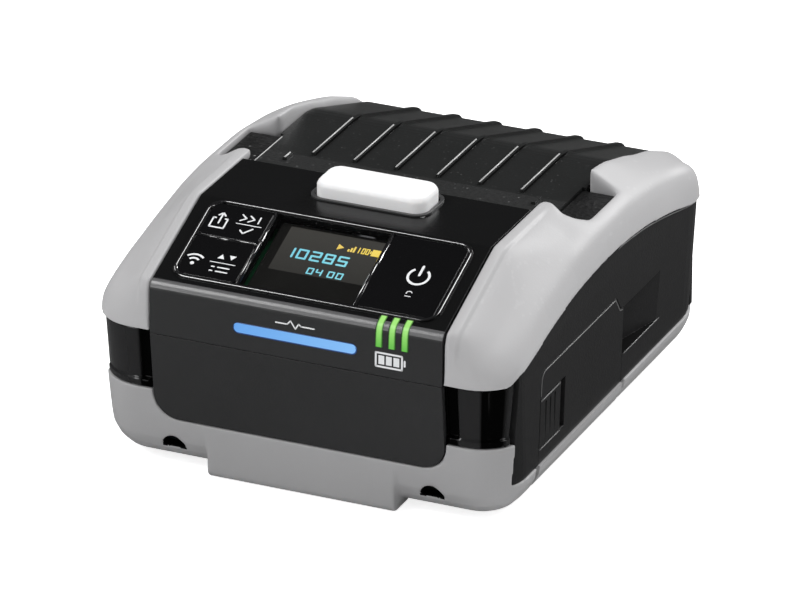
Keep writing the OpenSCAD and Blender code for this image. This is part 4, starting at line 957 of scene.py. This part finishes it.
# %% Finishes on the solids
FINISH = {
    "side_cheeks": "cheek_plastic", "front_plate": "front_plastic", "control_panel": "piano_black",
    "display_window": "smoked_window", "display_module": "display_mask", "key_board": "solder_mask",
    "key_switches": "shield_can", "feed_key": "key_black", "select_key": "key_black",
    "power_key": "key_black", "status_light_bar": "status_glow", "battery_lights": "battery_glow",
    "light_board": "solder_mask", "button_collar": "collar_grey", "latch_yoke": "steel",
    "lid_frame": "inner_black", "hinge_pin": "steel", "hinge_spring": "spring_steel",
    "platen_roller": "platen_rubber", "platen_shaft": "steel", "platen_bushes": "bronze",
    "platen_gear": "gear_white", "idler_gear": "gear_white", "motor": "shield_can",
    "motor_pinion": "bronze", "gear_plate": "steel", "head_frame": "steel", "heat_sink": "cast_aluminium",
    "print_head": "head_ceramic", "head_springs": "spring_steel", "tear_bar": "steel",
    "paper_well": "inner_black", "left_media_guide": "guide_grey", "right_media_guide": "guide_grey",
    "guide_pinion": "gear_white", "media_sensor": "solder_mask", "battery_bay": "inner_black",
    "battery_contacts": "contact_gold", "battery_pack_strip": "strip_plastic",
    "battery_cells": "cell_sleeve", "main_board": "solder_mask", "radio_module": "shield_can",
    "port_board": "solder_mask", "port_sockets": "shield_can", "port_cover": "rubber_black",
    "case_screws": "screw_steel",
}
for node, finish in FINISH.items():
    NODES[node].data.materials.clear()
    NODES[node].data.materials.append(SURFACE[finish])
print("finishes on solids", len(FINISH))

# %% [markdown]
# Printed marks and lit signs are thin raised pieces. A picture would blur close up. Each sign is a few flat
# outlines instead: capsules for its lines, arcs and ring sectors for its curves. An outline is a list of
# (u, v) points in millimetres, and it isn't yet on any surface.

# %% Flat outlines
def ray(degrees):
    return Vector((math.cos(math.radians(degrees)), math.sin(math.radians(degrees))))


def capsule(a, b, w, steps=6):
    """A line from a to b with round ends."""
    a, b = Vector(a), Vector(b)
    start = math.degrees(math.atan2(b.y - a.y, b.x - a.x)) + 90
    return [middle + w / 2 * ray(start + turn + 180 * i / steps)
            for middle, turn in ((a, 0), (b, 180)) for i in range(steps + 1)]


def path(points, w, closed=False):
    """A capsule along each stretch of a bent line."""
    following = points[1:] + (points[:1] if closed else [])
    return [capsule(a, b, w) for a, b in zip(points, following)]


def arc_points(c, r, a0, a1, n=20):
    return [tuple(Vector(c) + r * ray(a0 + (a1 - a0) * i / n)) for i in range(n + 1)]


def band(c, r, w, a0, a1, n=20):
    """A ring sector."""
    return arc_points(c, r + w / 2, a0, a1, n) + arc_points(c, r - w / 2, a1, a0, n)


def rounded(x0, x1, y0, y1, r, n=10):
    """A rectangle with round corners."""
    corners = ((x1 - r, y1 - r), (x0 + r, y1 - r), (x0 + r, y0 + r), (x1 - r, y0 + r))
    return [p for i, c in enumerate(corners) for p in arc_points(c, r, 90 * i, 90 * i + 90, n)]


print("points: capsule", len(capsule((0, 0), (1, 0), 0.3)), "arc", len(arc_points((0, 0), 1, 0, 90)))

# %% [markdown]
# The panel slopes up toward the rear, and the front face leans a little. One function for each surface turns
# (u, v, height) into a place on it. With these, the same outlines and ridges can lie on either one.

# %% Places on the panel and the front
PANEL_FOOT, PANEL_TOP = (1.2, 40.2), (23.5, 48.9)
SLOPE = math.atan2(PANEL_TOP[1] - PANEL_FOOT[1], PANEL_TOP[0] - PANEL_FOOT[0])
FRONT_LEAN, FRONT_LOW_Z, FRONT_RISE = 0.23, 29.575, 8.9


def on_slope(x, s, n):
    return P(x, PANEL_FOOT[0] + s * math.cos(SLOPE) - n * math.sin(SLOPE),
             PANEL_FOOT[1] + s * math.sin(SLOPE) + n * math.cos(SLOPE))


def on_front(x, z, n):
    return P(x, 0.02 + FRONT_LEAN * (z - FRONT_LOW_Z) / FRONT_RISE - n, z)


print("panel slope", round(math.degrees(SLOPE), 2), "degrees")

# %% [markdown]
# A mark starts as one flat face for each outline. Extruding that face gives its walls and its top at once, so
# each sign is a closed, thin solid.

# %% Mark maker
def mark(name, outlines, place, low, high, material, body, slot):
    """Thin prisms of flat outlines, laid on a surface by place(u, v, height)."""
    bm = bmesh.new()
    rise = place(0, 0, high) - place(0, 0, low)
    for outline in outlines:
        foot = bm.faces.new([bm.verts.new(place(u, v, low)) for u, v in outline])
        raised = bmesh.ops.extrude_face_region(bm, geom=[foot])["geom"]
        bmesh.ops.translate(bm, vec=rise, verts=[g for g in raised if isinstance(g, bmesh.types.BMVert)])
    open_edges = sum(not edge.is_manifold for edge in bm.edges)
    print("mark", name, len(outlines), "outlines,", open_edges, "open edges")
    return add_object(name, finished(bm, name), body, material, slot)


print("mark maker ready")

# %% [markdown]
# A ridge or a polished edge is a fine round bead along a line. A curve with a bevel would give it, but a
# curve doesn't follow a sloped or bent surface. Here, a circle is made at every point of the line and set
# square to it on the surface. Bridging joins each circle to the next one.

# %% Bead maker
AROUND = 10


def circle_at(bm, point, along, radius, place, low):
    """A circle of edges round one point of the line, across its direction."""
    across = Vector((-along.y, along.x))
    ring = bmesh.ops.create_circle(bm, segments=AROUND, radius=radius)["verts"]
    edges = list(dict.fromkeys(edge for vert in ring for edge in vert.link_edges))
    for vert in ring:
        where = point + across * vert.co.y
        vert.co = place(where.x, where.y, low - vert.co.x)
    return edges


def tube(name, line, radius, place, low, material, body, slot, closed=False):
    """A thin ridge of round section along a flat line, laid on a surface by place(u, v, height)."""
    bm = bmesh.new()
    points = [Vector(p) for p in line]
    before = points[-1:] + points[:-1] if closed else points[:1] + points[:-1]
    after = points[1:] + points[:1] if closed else points[1:] + points[-1:]
    rings = [circle_at(bm, point, (b - a).normalized(), radius, place, low)
             for a, point, b in zip(before, points, after)]
    for ring, following in zip(rings, rings[1:] + (rings[:1] if closed else [])):
        bmesh.ops.bridge_loops(bm, edges=ring + following)
    if not closed:
        bmesh.ops.holes_fill(bm, edges=rings[0] + rings[-1], sides=AROUND)
    open_edges = sum(not edge.is_manifold for edge in bm.edges)
    print("bead", name, len(bm.faces), "faces,", open_edges, "open edges")
    mesh = finished(bm, name)
    mesh.shade_smooth()
    return add_object(name, mesh, body, material, slot)


print("points round a bead", AROUND)

# %% [markdown]
# A raised, glossy rim frames the panel, and three ridges part its keys from each other and from the display.
# They are round beads that stand half out of the panel.

# %% Ridges round the keys and the display
for name, line, radius, low, closed in (
        ("panel_rim", rounded(-27.35, 27.35, 2.15, 23.15, 3.05), 0.45, -0.02, True),
        ("left_key_ridge", [(-13.75, 2.7), (-13.75, 22.6)], 0.42, -0.08, False),
        ("power_key_ridge", [(10.65, 2.7), (10.65, 22.6)], 0.48, -0.08, False),
        ("key_split_ridge", [(-26.9, 13.5), (-14.0, 13.5)], 0.3, -0.04, False)):
    tube(name, line, radius, on_slope, low, "ridge_black", "chassis", "piano_black", closed)

# %% [markdown]
# The thin edges that stand proud get painted highlights: the crests of the ribs, the battery cap's outline,
# the latch and the lip of the scoop. A worn-edge mask would need far finer meshes there. So each gets a fine
# bead of a light colour, which lies on the solid below it and paints the highlight. On the lid, the beads
# ride with it as it opens.

# %% Painted highlights on the lid's edges
ON_CREST, ON_FLAT, LEFT_OF_RIB = 0.49, -0.06, 0.22


def on_lid(x, y, n):
    return P(x, y, LID_TOP + n)


# Each bead paints a highlight along the crest of a rib.
for i in range(RIBS):
    x = (i - (RIBS - 1) / 2) * RIB_PITCH - LEFT_OF_RIB
    tube("rib_edge_%d" % i, [(x, 57.7), (x, 67), (x, 76.6)], 0.18, on_lid, ON_CREST, "edge_painted_highlight", "lid",
         "lid_black")
tube("lid_edge", [(-31.72, 50.6), (-31.72, 63.4)], 0.15, on_lid, ON_FLAT, "edge_painted_highlight", "lid", "lid_black")
tube("tick_edge", [(-26.5, 53.3), (-26.5, 55.9)], 0.22, on_lid, 0.47, "edge_painted_highlight", "lid", "lid_black")

# %% [markdown]
# The beads on the right side follow walls that aren't quite flat. Typing in their places would leave gaps, so
# a ray from outside finds the wall below each point of the line. The line first gets a point about every
# millimetre, so that it can bend with the wall.

# %% Painted highlights on the right side's edges
OUTSIDE_X, WALL_X, BEAD, SUNK = 70, 43, 0.12, -0.04


def on_wall(node):
    """A place(y, z, height) on the right outer face of a solid."""
    mesh = NODES[node].data
    tree = BVHTree.FromPolygons([v.co for v in mesh.vertices], [tuple(f.vertices) for f in mesh.polygons])

    def place(y, z, n):
        hit = tree.ray_cast(P(OUTSIDE_X, y, z), Vector((-1, 0, 0)))[0]
        return (hit or P(WALL_X, y, z)) + Vector((n * MM, 0, 0))
    return place


def stretched(points, step=1.0):
    """The same line with a point about every millimetre."""
    out = []
    for a, b in zip(points, points[1:]):
        count = max(1, int(math.dist(a, b) / step))
        out += [(a[0] + (b[0] - a[0]) * i / count, a[1] + (b[1] - a[1]) * i / count) for i in range(count)]
    return out + [points[-1]]


cap_corner = arc_points((19.62, 25.38), 1.9, 180, 90, 8)
cap_line = [(17.72, 22.4)] + cap_corner + [(54.2, 27.28), (56.6, 24.1), (58.0, 23.8)]
# Painted highlights: faint light beads along the cap, the latch, the scoop's lip and the wall's top edge.
for name, node, line, body, slot in (
        ("cap_edge", "battery_pack", cap_line, "battery", "dark_shell"),
        ("recess_edge", "battery_pack", [(17.8, 11.05), (27.6, 11.05)], "battery", "dark_shell"),
        ("latch_edge", "battery_latch", [(17.85, 21.35), (27.15, 21.35)], "battery_latch", "latch_black"),
        ("scoop_edge", "middle_case", [(59.4, 13.75), (77.6, 13.75)], "chassis", "dark_shell")):
    tube(name, stretched(line), BEAD, on_wall(node), SUNK, "faint_painted_highlight", body, slot)
seat = [(y, float(np.interp(y, EDGE_Y, SOFT_Z)) - 0.42) for y in np.arange(56.0, 101.0, 1.5)]
tube("shell_edge", seat, 0.13, on_wall("middle_case"), 0.0, "faint_painted_highlight", "chassis", "dark_shell")

# %% [markdown]
# The three keys carry white printed signs. Real ones are a few hundredths of a millimetre thick, and these
# are as thin as a mesh can be without flicker. The feed key has an arrow that leaves a tray, two pointers
# with a stop over a line, and a tick. All of them are drawn with the outlines above.

# %% Feed key marks
KEY_TOP = (0.09, 0.125)
BOLD, MEDIUM, FINE = 0.34, 0.3, 0.18
feed = path([(-24.9, 18.6), (-25.4, 18.6), (-25.4, 16.1), (-22.4, 16.1), (-22.4, 18.6), (-22.9, 18.6)], BOLD)
feed += path([(-23.9, 17.3), (-23.9, 20.0)], BOLD) + path([(-24.6, 19.4), (-23.9, 20.1), (-23.2, 19.4)], BOLD)
feed += path([(-20.4, 18.05), (-15.2, 18.05)], FINE)
for x in (-20.0, -18.3):
    feed += path([(x, 20.5), (x + 1.1, 19.7), (x, 18.9)], MEDIUM)
feed += path([(-16.2, 20.5), (-16.2, 18.9)], MEDIUM)
feed += path([(-18.9, 16.4), (-18.1, 15.7), (-16.6, 17.2)], BOLD)
mark("feed_key_marks", feed, on_slope, *KEY_TOP, "print_white", "feed_key", "white_button")

# %% [markdown]
# The select key has radio waves over a dot, an up and a down pointer, an underline and a short list. The
# power key has the usual open ring with a stroke, and a small half ring over a line below it.

# %% Select and power key marks
pick = [arc_points((-24.5, 5.95), 0.42, 0, 345, 12)]
pick += [band((-24.5, 5.95), r, 0.42, 45, 135) for r in (1.35, 2.35)]
pick += path([(-21.2, 7.2), (-16.0, 7.2)], FINE)
pick += [[(-20.2, 8.3), (-18.8, 8.3), (-19.5, 9.5)], [(-18.0, 9.5), (-16.6, 9.5), (-17.3, 8.3)]]
for s in (6.0, 4.9):
    pick += path([(-20.4, s), (-19.9, s)], MEDIUM) + path([(-19.1, s), (-16.8, s)], MEDIUM)
mark("select_key_marks", pick, on_slope, *KEY_TOP, "print_white", "select_key", "white_button")
power = [band((19.8, 12.95), 2.1, 0.5, 128, 412, 40)] + path([(19.8, 13.3), (19.8, 15.7)], 0.5)
power += [band((19.75, 8.3), 0.55, 0.2, 20, 200, 10)] + path([(19.2, 7.5), (20.3, 7.5)], FINE)
mark("power_key_marks", power, on_slope, *KEY_TOP, "print_white", "power_key", "white_button")

# %% [markdown]
# On the front, a deep blue rim of light runs round the status bar. A plain pulse sign stands above the bar,
# and a battery sign stands below its three green lights.

# %% Front marks
PRINTED = (-0.01, 0.03)
bar_edge = arc_points((11.75, 33.95), 1.0, -90, 90, 10) + arc_points((-11.75, 33.95), 1.0, 90, 270, 10)
tube("status_rim", bar_edge, 0.16, on_front, -0.055, "status_rim", "chassis", "status_blue", True)
pulse = [(-4.0, 36.6), (-1.6, 36.6), (-0.9, 37.4), (0.1, 35.9), (0.8, 37.0), (1.3, 36.6), (4.0, 36.6)]
mark("status_mark", path(pulse, 0.27), on_front, *PRINTED, "print_white", "chassis", "white_button")
cell = path([(16.8, 31.5), (22.2, 31.5), (22.2, 34.3), (16.8, 34.3)], 0.38, True)
cell += path([(22.75, 32.4), (22.75, 33.4)], 0.4)
cell += [[(x, 32.0), (x + 1.2, 32.0), (x + 1.2, 33.8), (x, 33.8)] for x in (17.35, 18.9, 20.45)]
mark("battery_mark", cell, on_front, *PRINTED, "print_white", "chassis", "white_button")

# %% [markdown]
# The display's digits are built as on a seven-segment display: each segment is one capsule, and a table says
# which of them a digit lights. That needs no font and stays a clean mesh.

# %% Digits
SEGMENTS = {"0": "abcdef", "1": "bc", "2": "abged", "3": "abgcd", "4": "fgbc", "5": "afgcd", "6": "afgedc",
            "7": "abc", "8": "abcdefg", "9": "abcdfg"}


def digit(ch, x, s, w, h, t):
    """A digit whose lower left corner is at (x, s), w wide and h high, with strokes t thick."""
    m = s + h / 2
    ends = {"a": ((x, s + h), (x + w, s + h)), "b": ((x + w, s + h), (x + w, m)),
            "c": ((x + w, m), (x + w, s)), "d": ((x, s), (x + w, s)), "e": ((x, m), (x, s)),
            "f": ((x, s + h), (x, m)), "g": ((x, m), (x + w, m))}
    return [capsule(*ends[k], t) for k in SEGMENTS[ch]]


print("digits", "".join(SEGMENTS))

# %% [markdown]
# The display shows plain numbers in cyan, and a pointer, signal bars and a full battery in yellow. It lies
# well under the window, and the camera looks at it from a slant, so every sign is moved up the slope by what
# that view takes off.

# %% Display
UP_THE_SLOPE, ASIDE = 1.35, 0.55
SHOW = (-1.57, -1.52)


def seen(shapes):
    return [[(p[0] + ASIDE, p[1] + UP_THE_SLOPE) for p in shape] for shape in shapes]


field = [(-11, 8.3), (10.1, 8.3), (10.1, 20), (-11, 20)]
mark("display_field", seen([field]), on_slope, -1.579, -1.572, "field_glow", "chassis", "display")
numbers = []
for x, ch in zip((-9.6, -6.8, -4.0, -1.2, 1.6), "10285"):
    numbers += digit(ch, x, 12.3, 1.75, 2.2, 0.42)
for x, ch in zip((-3.2, -1.4, 1.1, 2.9), "0400"):
    numbers += digit(ch, x, 8.8, 1.05, 1.4, 0.28)
mark("display_numbers", seen(numbers), on_slope, *SHOW, "cyan_glow", "chassis", "status_blue")
signs = [[(0.0, 16.2), (1.3, 16.95), (0.0, 17.7)]]
signs += [[(x, 16.2), (x + 0.38, 16.2), (x + 0.38, 16.2 + h), (x, 16.2 + h)]
          for x, h in ((2.2, 0.6), (2.75, 1.05), (3.3, 1.5))]
for x, ch in zip((3.95, 5.11, 5.97), "100"):
    signs += digit(ch, x, 16.3, 0.5, 1.3, 0.22)
signs += [[(7.1, 16.1), (10.7, 16.1), (10.7, 17.8), (7.1, 17.8)],
          [(6.75, 16.6), (7.0, 16.6), (7.0, 17.3), (6.75, 17.3)]]
mark("display_signs", seen(signs), on_slope, *SHOW, "yellow_glow", "chassis", "light_green")

# %% [markdown]
# The printer stands on a plain white ground. Light strong enough to make a floor white would wash out the
# object. So only the camera's own rays see the floor glow. Mirrored in the object it is dark, which keeps the
# black plastics black, and from below it is clear, so that a view from there isn't blocked.

# %% Floor
FLOOR_HALF, FLOOR_GLOW, FLOOR_MIRRORED = 6, (0.8, 0.8, 0.8, 1), (0.12, 0.12, 0.12, 1)


def floor_material(name, colour):
    mat = bpy.data.materials.new(name)
    mat.use_nodes = True
    tree = mat.node_tree
    shader = tree.nodes["Principled BSDF"]
    patches = noise(tree, object_coord(tree), 8, 2, 0.5)
    tone = mix_colour(tree, patches, tuple(c * 0.99 for c in colour), colour)
    tree.links.new(tone, shader.inputs["Base Color"])
    shader.inputs["Roughness"].default_value = 0.9
    shader.inputs["Specular IOR Level"].default_value = 0.1
    ways = tree.nodes.new("ShaderNodeLightPath")
    tree.links.new(ways.outputs["Is Camera Ray"], shader.inputs["Emission Strength"])
    shader.inputs["Emission Color"].default_value = FLOOR_GLOW
    dark = tree.nodes.new("ShaderNodeBsdfDiffuse")
    dark.inputs[0].default_value = FLOOR_MIRRORED
    from_above = either(tree, ways.outputs["Is Glossy Ray"], shader.outputs[0], dark.outputs[0])
    below = tree.nodes.new("ShaderNodeNewGeometry")
    clear = tree.nodes.new("ShaderNodeBsdfTransparent")
    one_sided = either(tree, below.outputs["Backfacing"], from_above, clear.outputs[0])
    tree.links.new(one_sided, tree.nodes["Material Output"].inputs[0])
    return mat


bm = bmesh.new()
bmesh.ops.create_grid(bm, x_segments=2, y_segments=2, size=FLOOR_HALF)
floor_mesh = bpy.data.meshes.new("floor")
bm.to_mesh(floor_mesh)
bm.free()
floor = bpy.data.objects.new("floor", floor_mesh)
bpy.context.scene.collection.objects.link(floor)
floor.data.materials.append(floor_material("pale_floor", (0.86, 0.86, 0.86)))
floor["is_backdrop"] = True
print("floor", 2 * FLOOR_HALF, "m wide")

# %% [markdown]
# The world does the same: white where the camera looks past the object, nearly black in mirrors, and a mild
# grey as light. Each is a Background shader, and Light Path chooses between them.

# %% World
world = bpy.data.worlds.new("studio")
bpy.context.scene.world = world
world.use_nodes = True
tree = world.node_tree
tree.nodes.clear()


def background(grey):
    shader = tree.nodes.new("ShaderNodeBackground")
    shader.inputs[0].default_value = (*grey, 1)
    return shader.outputs[0]


ways = tree.nodes.new("ShaderNodeLightPath")
light = background((0.30, 0.30, 0.305))
mirrored = background((0.03, 0.03, 0.03))
seen_by_camera = background((1, 1, 1))
unseen = either(tree, ways.outputs["Is Glossy Ray"], light, mirrored)
whole = either(tree, ways.outputs["Is Camera Ray"], unseen, seen_by_camera)
tree.links.new(whole, tree.nodes.new("ShaderNodeOutputWorld").inputs[0])
print("world", world.name)

# %% [markdown]
# Six softboxes light the printer at a plain level: the key light from the front left, one above, and weaker
# ones at the sides and behind that draw its edges. A tiny seventh one close to the right corner makes the
# narrow bright line on the pillar. It shows in glossy surfaces only.

# %% Lamps
def softbox(name, place, target, size, power):
    light = bpy.data.lights.new(name, "AREA")
    light.shape = "RECTANGLE"
    light.size, light.size_y = size
    light.energy = power
    obj = bpy.data.objects.new(name, light)
    bpy.context.scene.collection.objects.link(obj)
    obj.location = place
    obj.rotation_euler = (Vector(target) - Vector(place)).to_track_quat("-Z", "Y").to_euler()
    return obj


softbox("key_left", (-0.58, -0.55, 0.88), (0, 0, 0.02), (0.4, 0.4), 5.3)
softbox("top_right", (0.33, 0.30, 1.0), (0, 0, 0.02), (0.5, 0.4), 5.2)
softbox("side_right", (0.95, -0.3, 0.4), (0, 0, 0.02), (0.14, 0.7), 1.5)
softbox("side_left", (-0.5, -1.0, 0.3), (0, 0, 0.03), (0.1, 0.6), 1.3)
softbox("back_left", (-0.95, 0.12, 0.66), (0, 0, 0.02), (0.3, 0.3), 1.6)
softbox("back_right", (0.42, 0.97, 0.54), (0, 0, 0.03), (0.5, 0.2), 6.0)
corner = P(41.5, 0.7, 0.5)
glint = softbox("corner_glint", corner + 0.055 * Vector((0.64, -0.77, 0)), corner, (0.003, 0.05), 0.0012)
glint.rotation_euler = (math.pi, 0, math.radians(40))
glint.visible_camera = glint.visible_diffuse = False
print("lamps", len(bpy.data.lights))

# %% [markdown]
# The camera stands where the photograph was taken from: far off, with a long lens, looking down at about 25
# degrees. Its place and lens were fitted to the printer's outline before anything was modelled.

# %% Camera
FOCAL_PIXELS, PICTURE_WIDTH, SENSOR = 7573, 800, 36
LOOK_DOWN, TURN_ROUND = 24.576, 23.946
camera_data = bpy.data.cameras.new("camera")
camera = bpy.data.objects.new("camera", camera_data)
bpy.context.scene.collection.objects.link(camera)
camera_data.sensor_width = SENSOR
camera_data.lens = FOCAL_PIXELS / PICTURE_WIDTH * SENSOR
camera_data.clip_start, camera_data.clip_end = 0.05, 20
camera.location = (0.54557, -1.23531, 0.63618)
camera.rotation_euler = (math.radians(90 - LOOK_DOWN), 0, math.radians(TURN_ROUND))
bpy.context.scene.camera = camera
bpy.context.scene.view_settings.view_transform = "Standard"
print("lens", round(camera_data.lens, 1), "mm")

# %% [markdown]
# Last, the dressed part's box is printed, to set beside the box of the solids printed at the start.

# %% Sizes and finish
low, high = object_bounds()
{"cad": [list(cad_box[0]), list(cad_box[1])], "visual": [list(low), list(high)]}
print("visual box", [round(v, 4) for v in (*low, *high)])
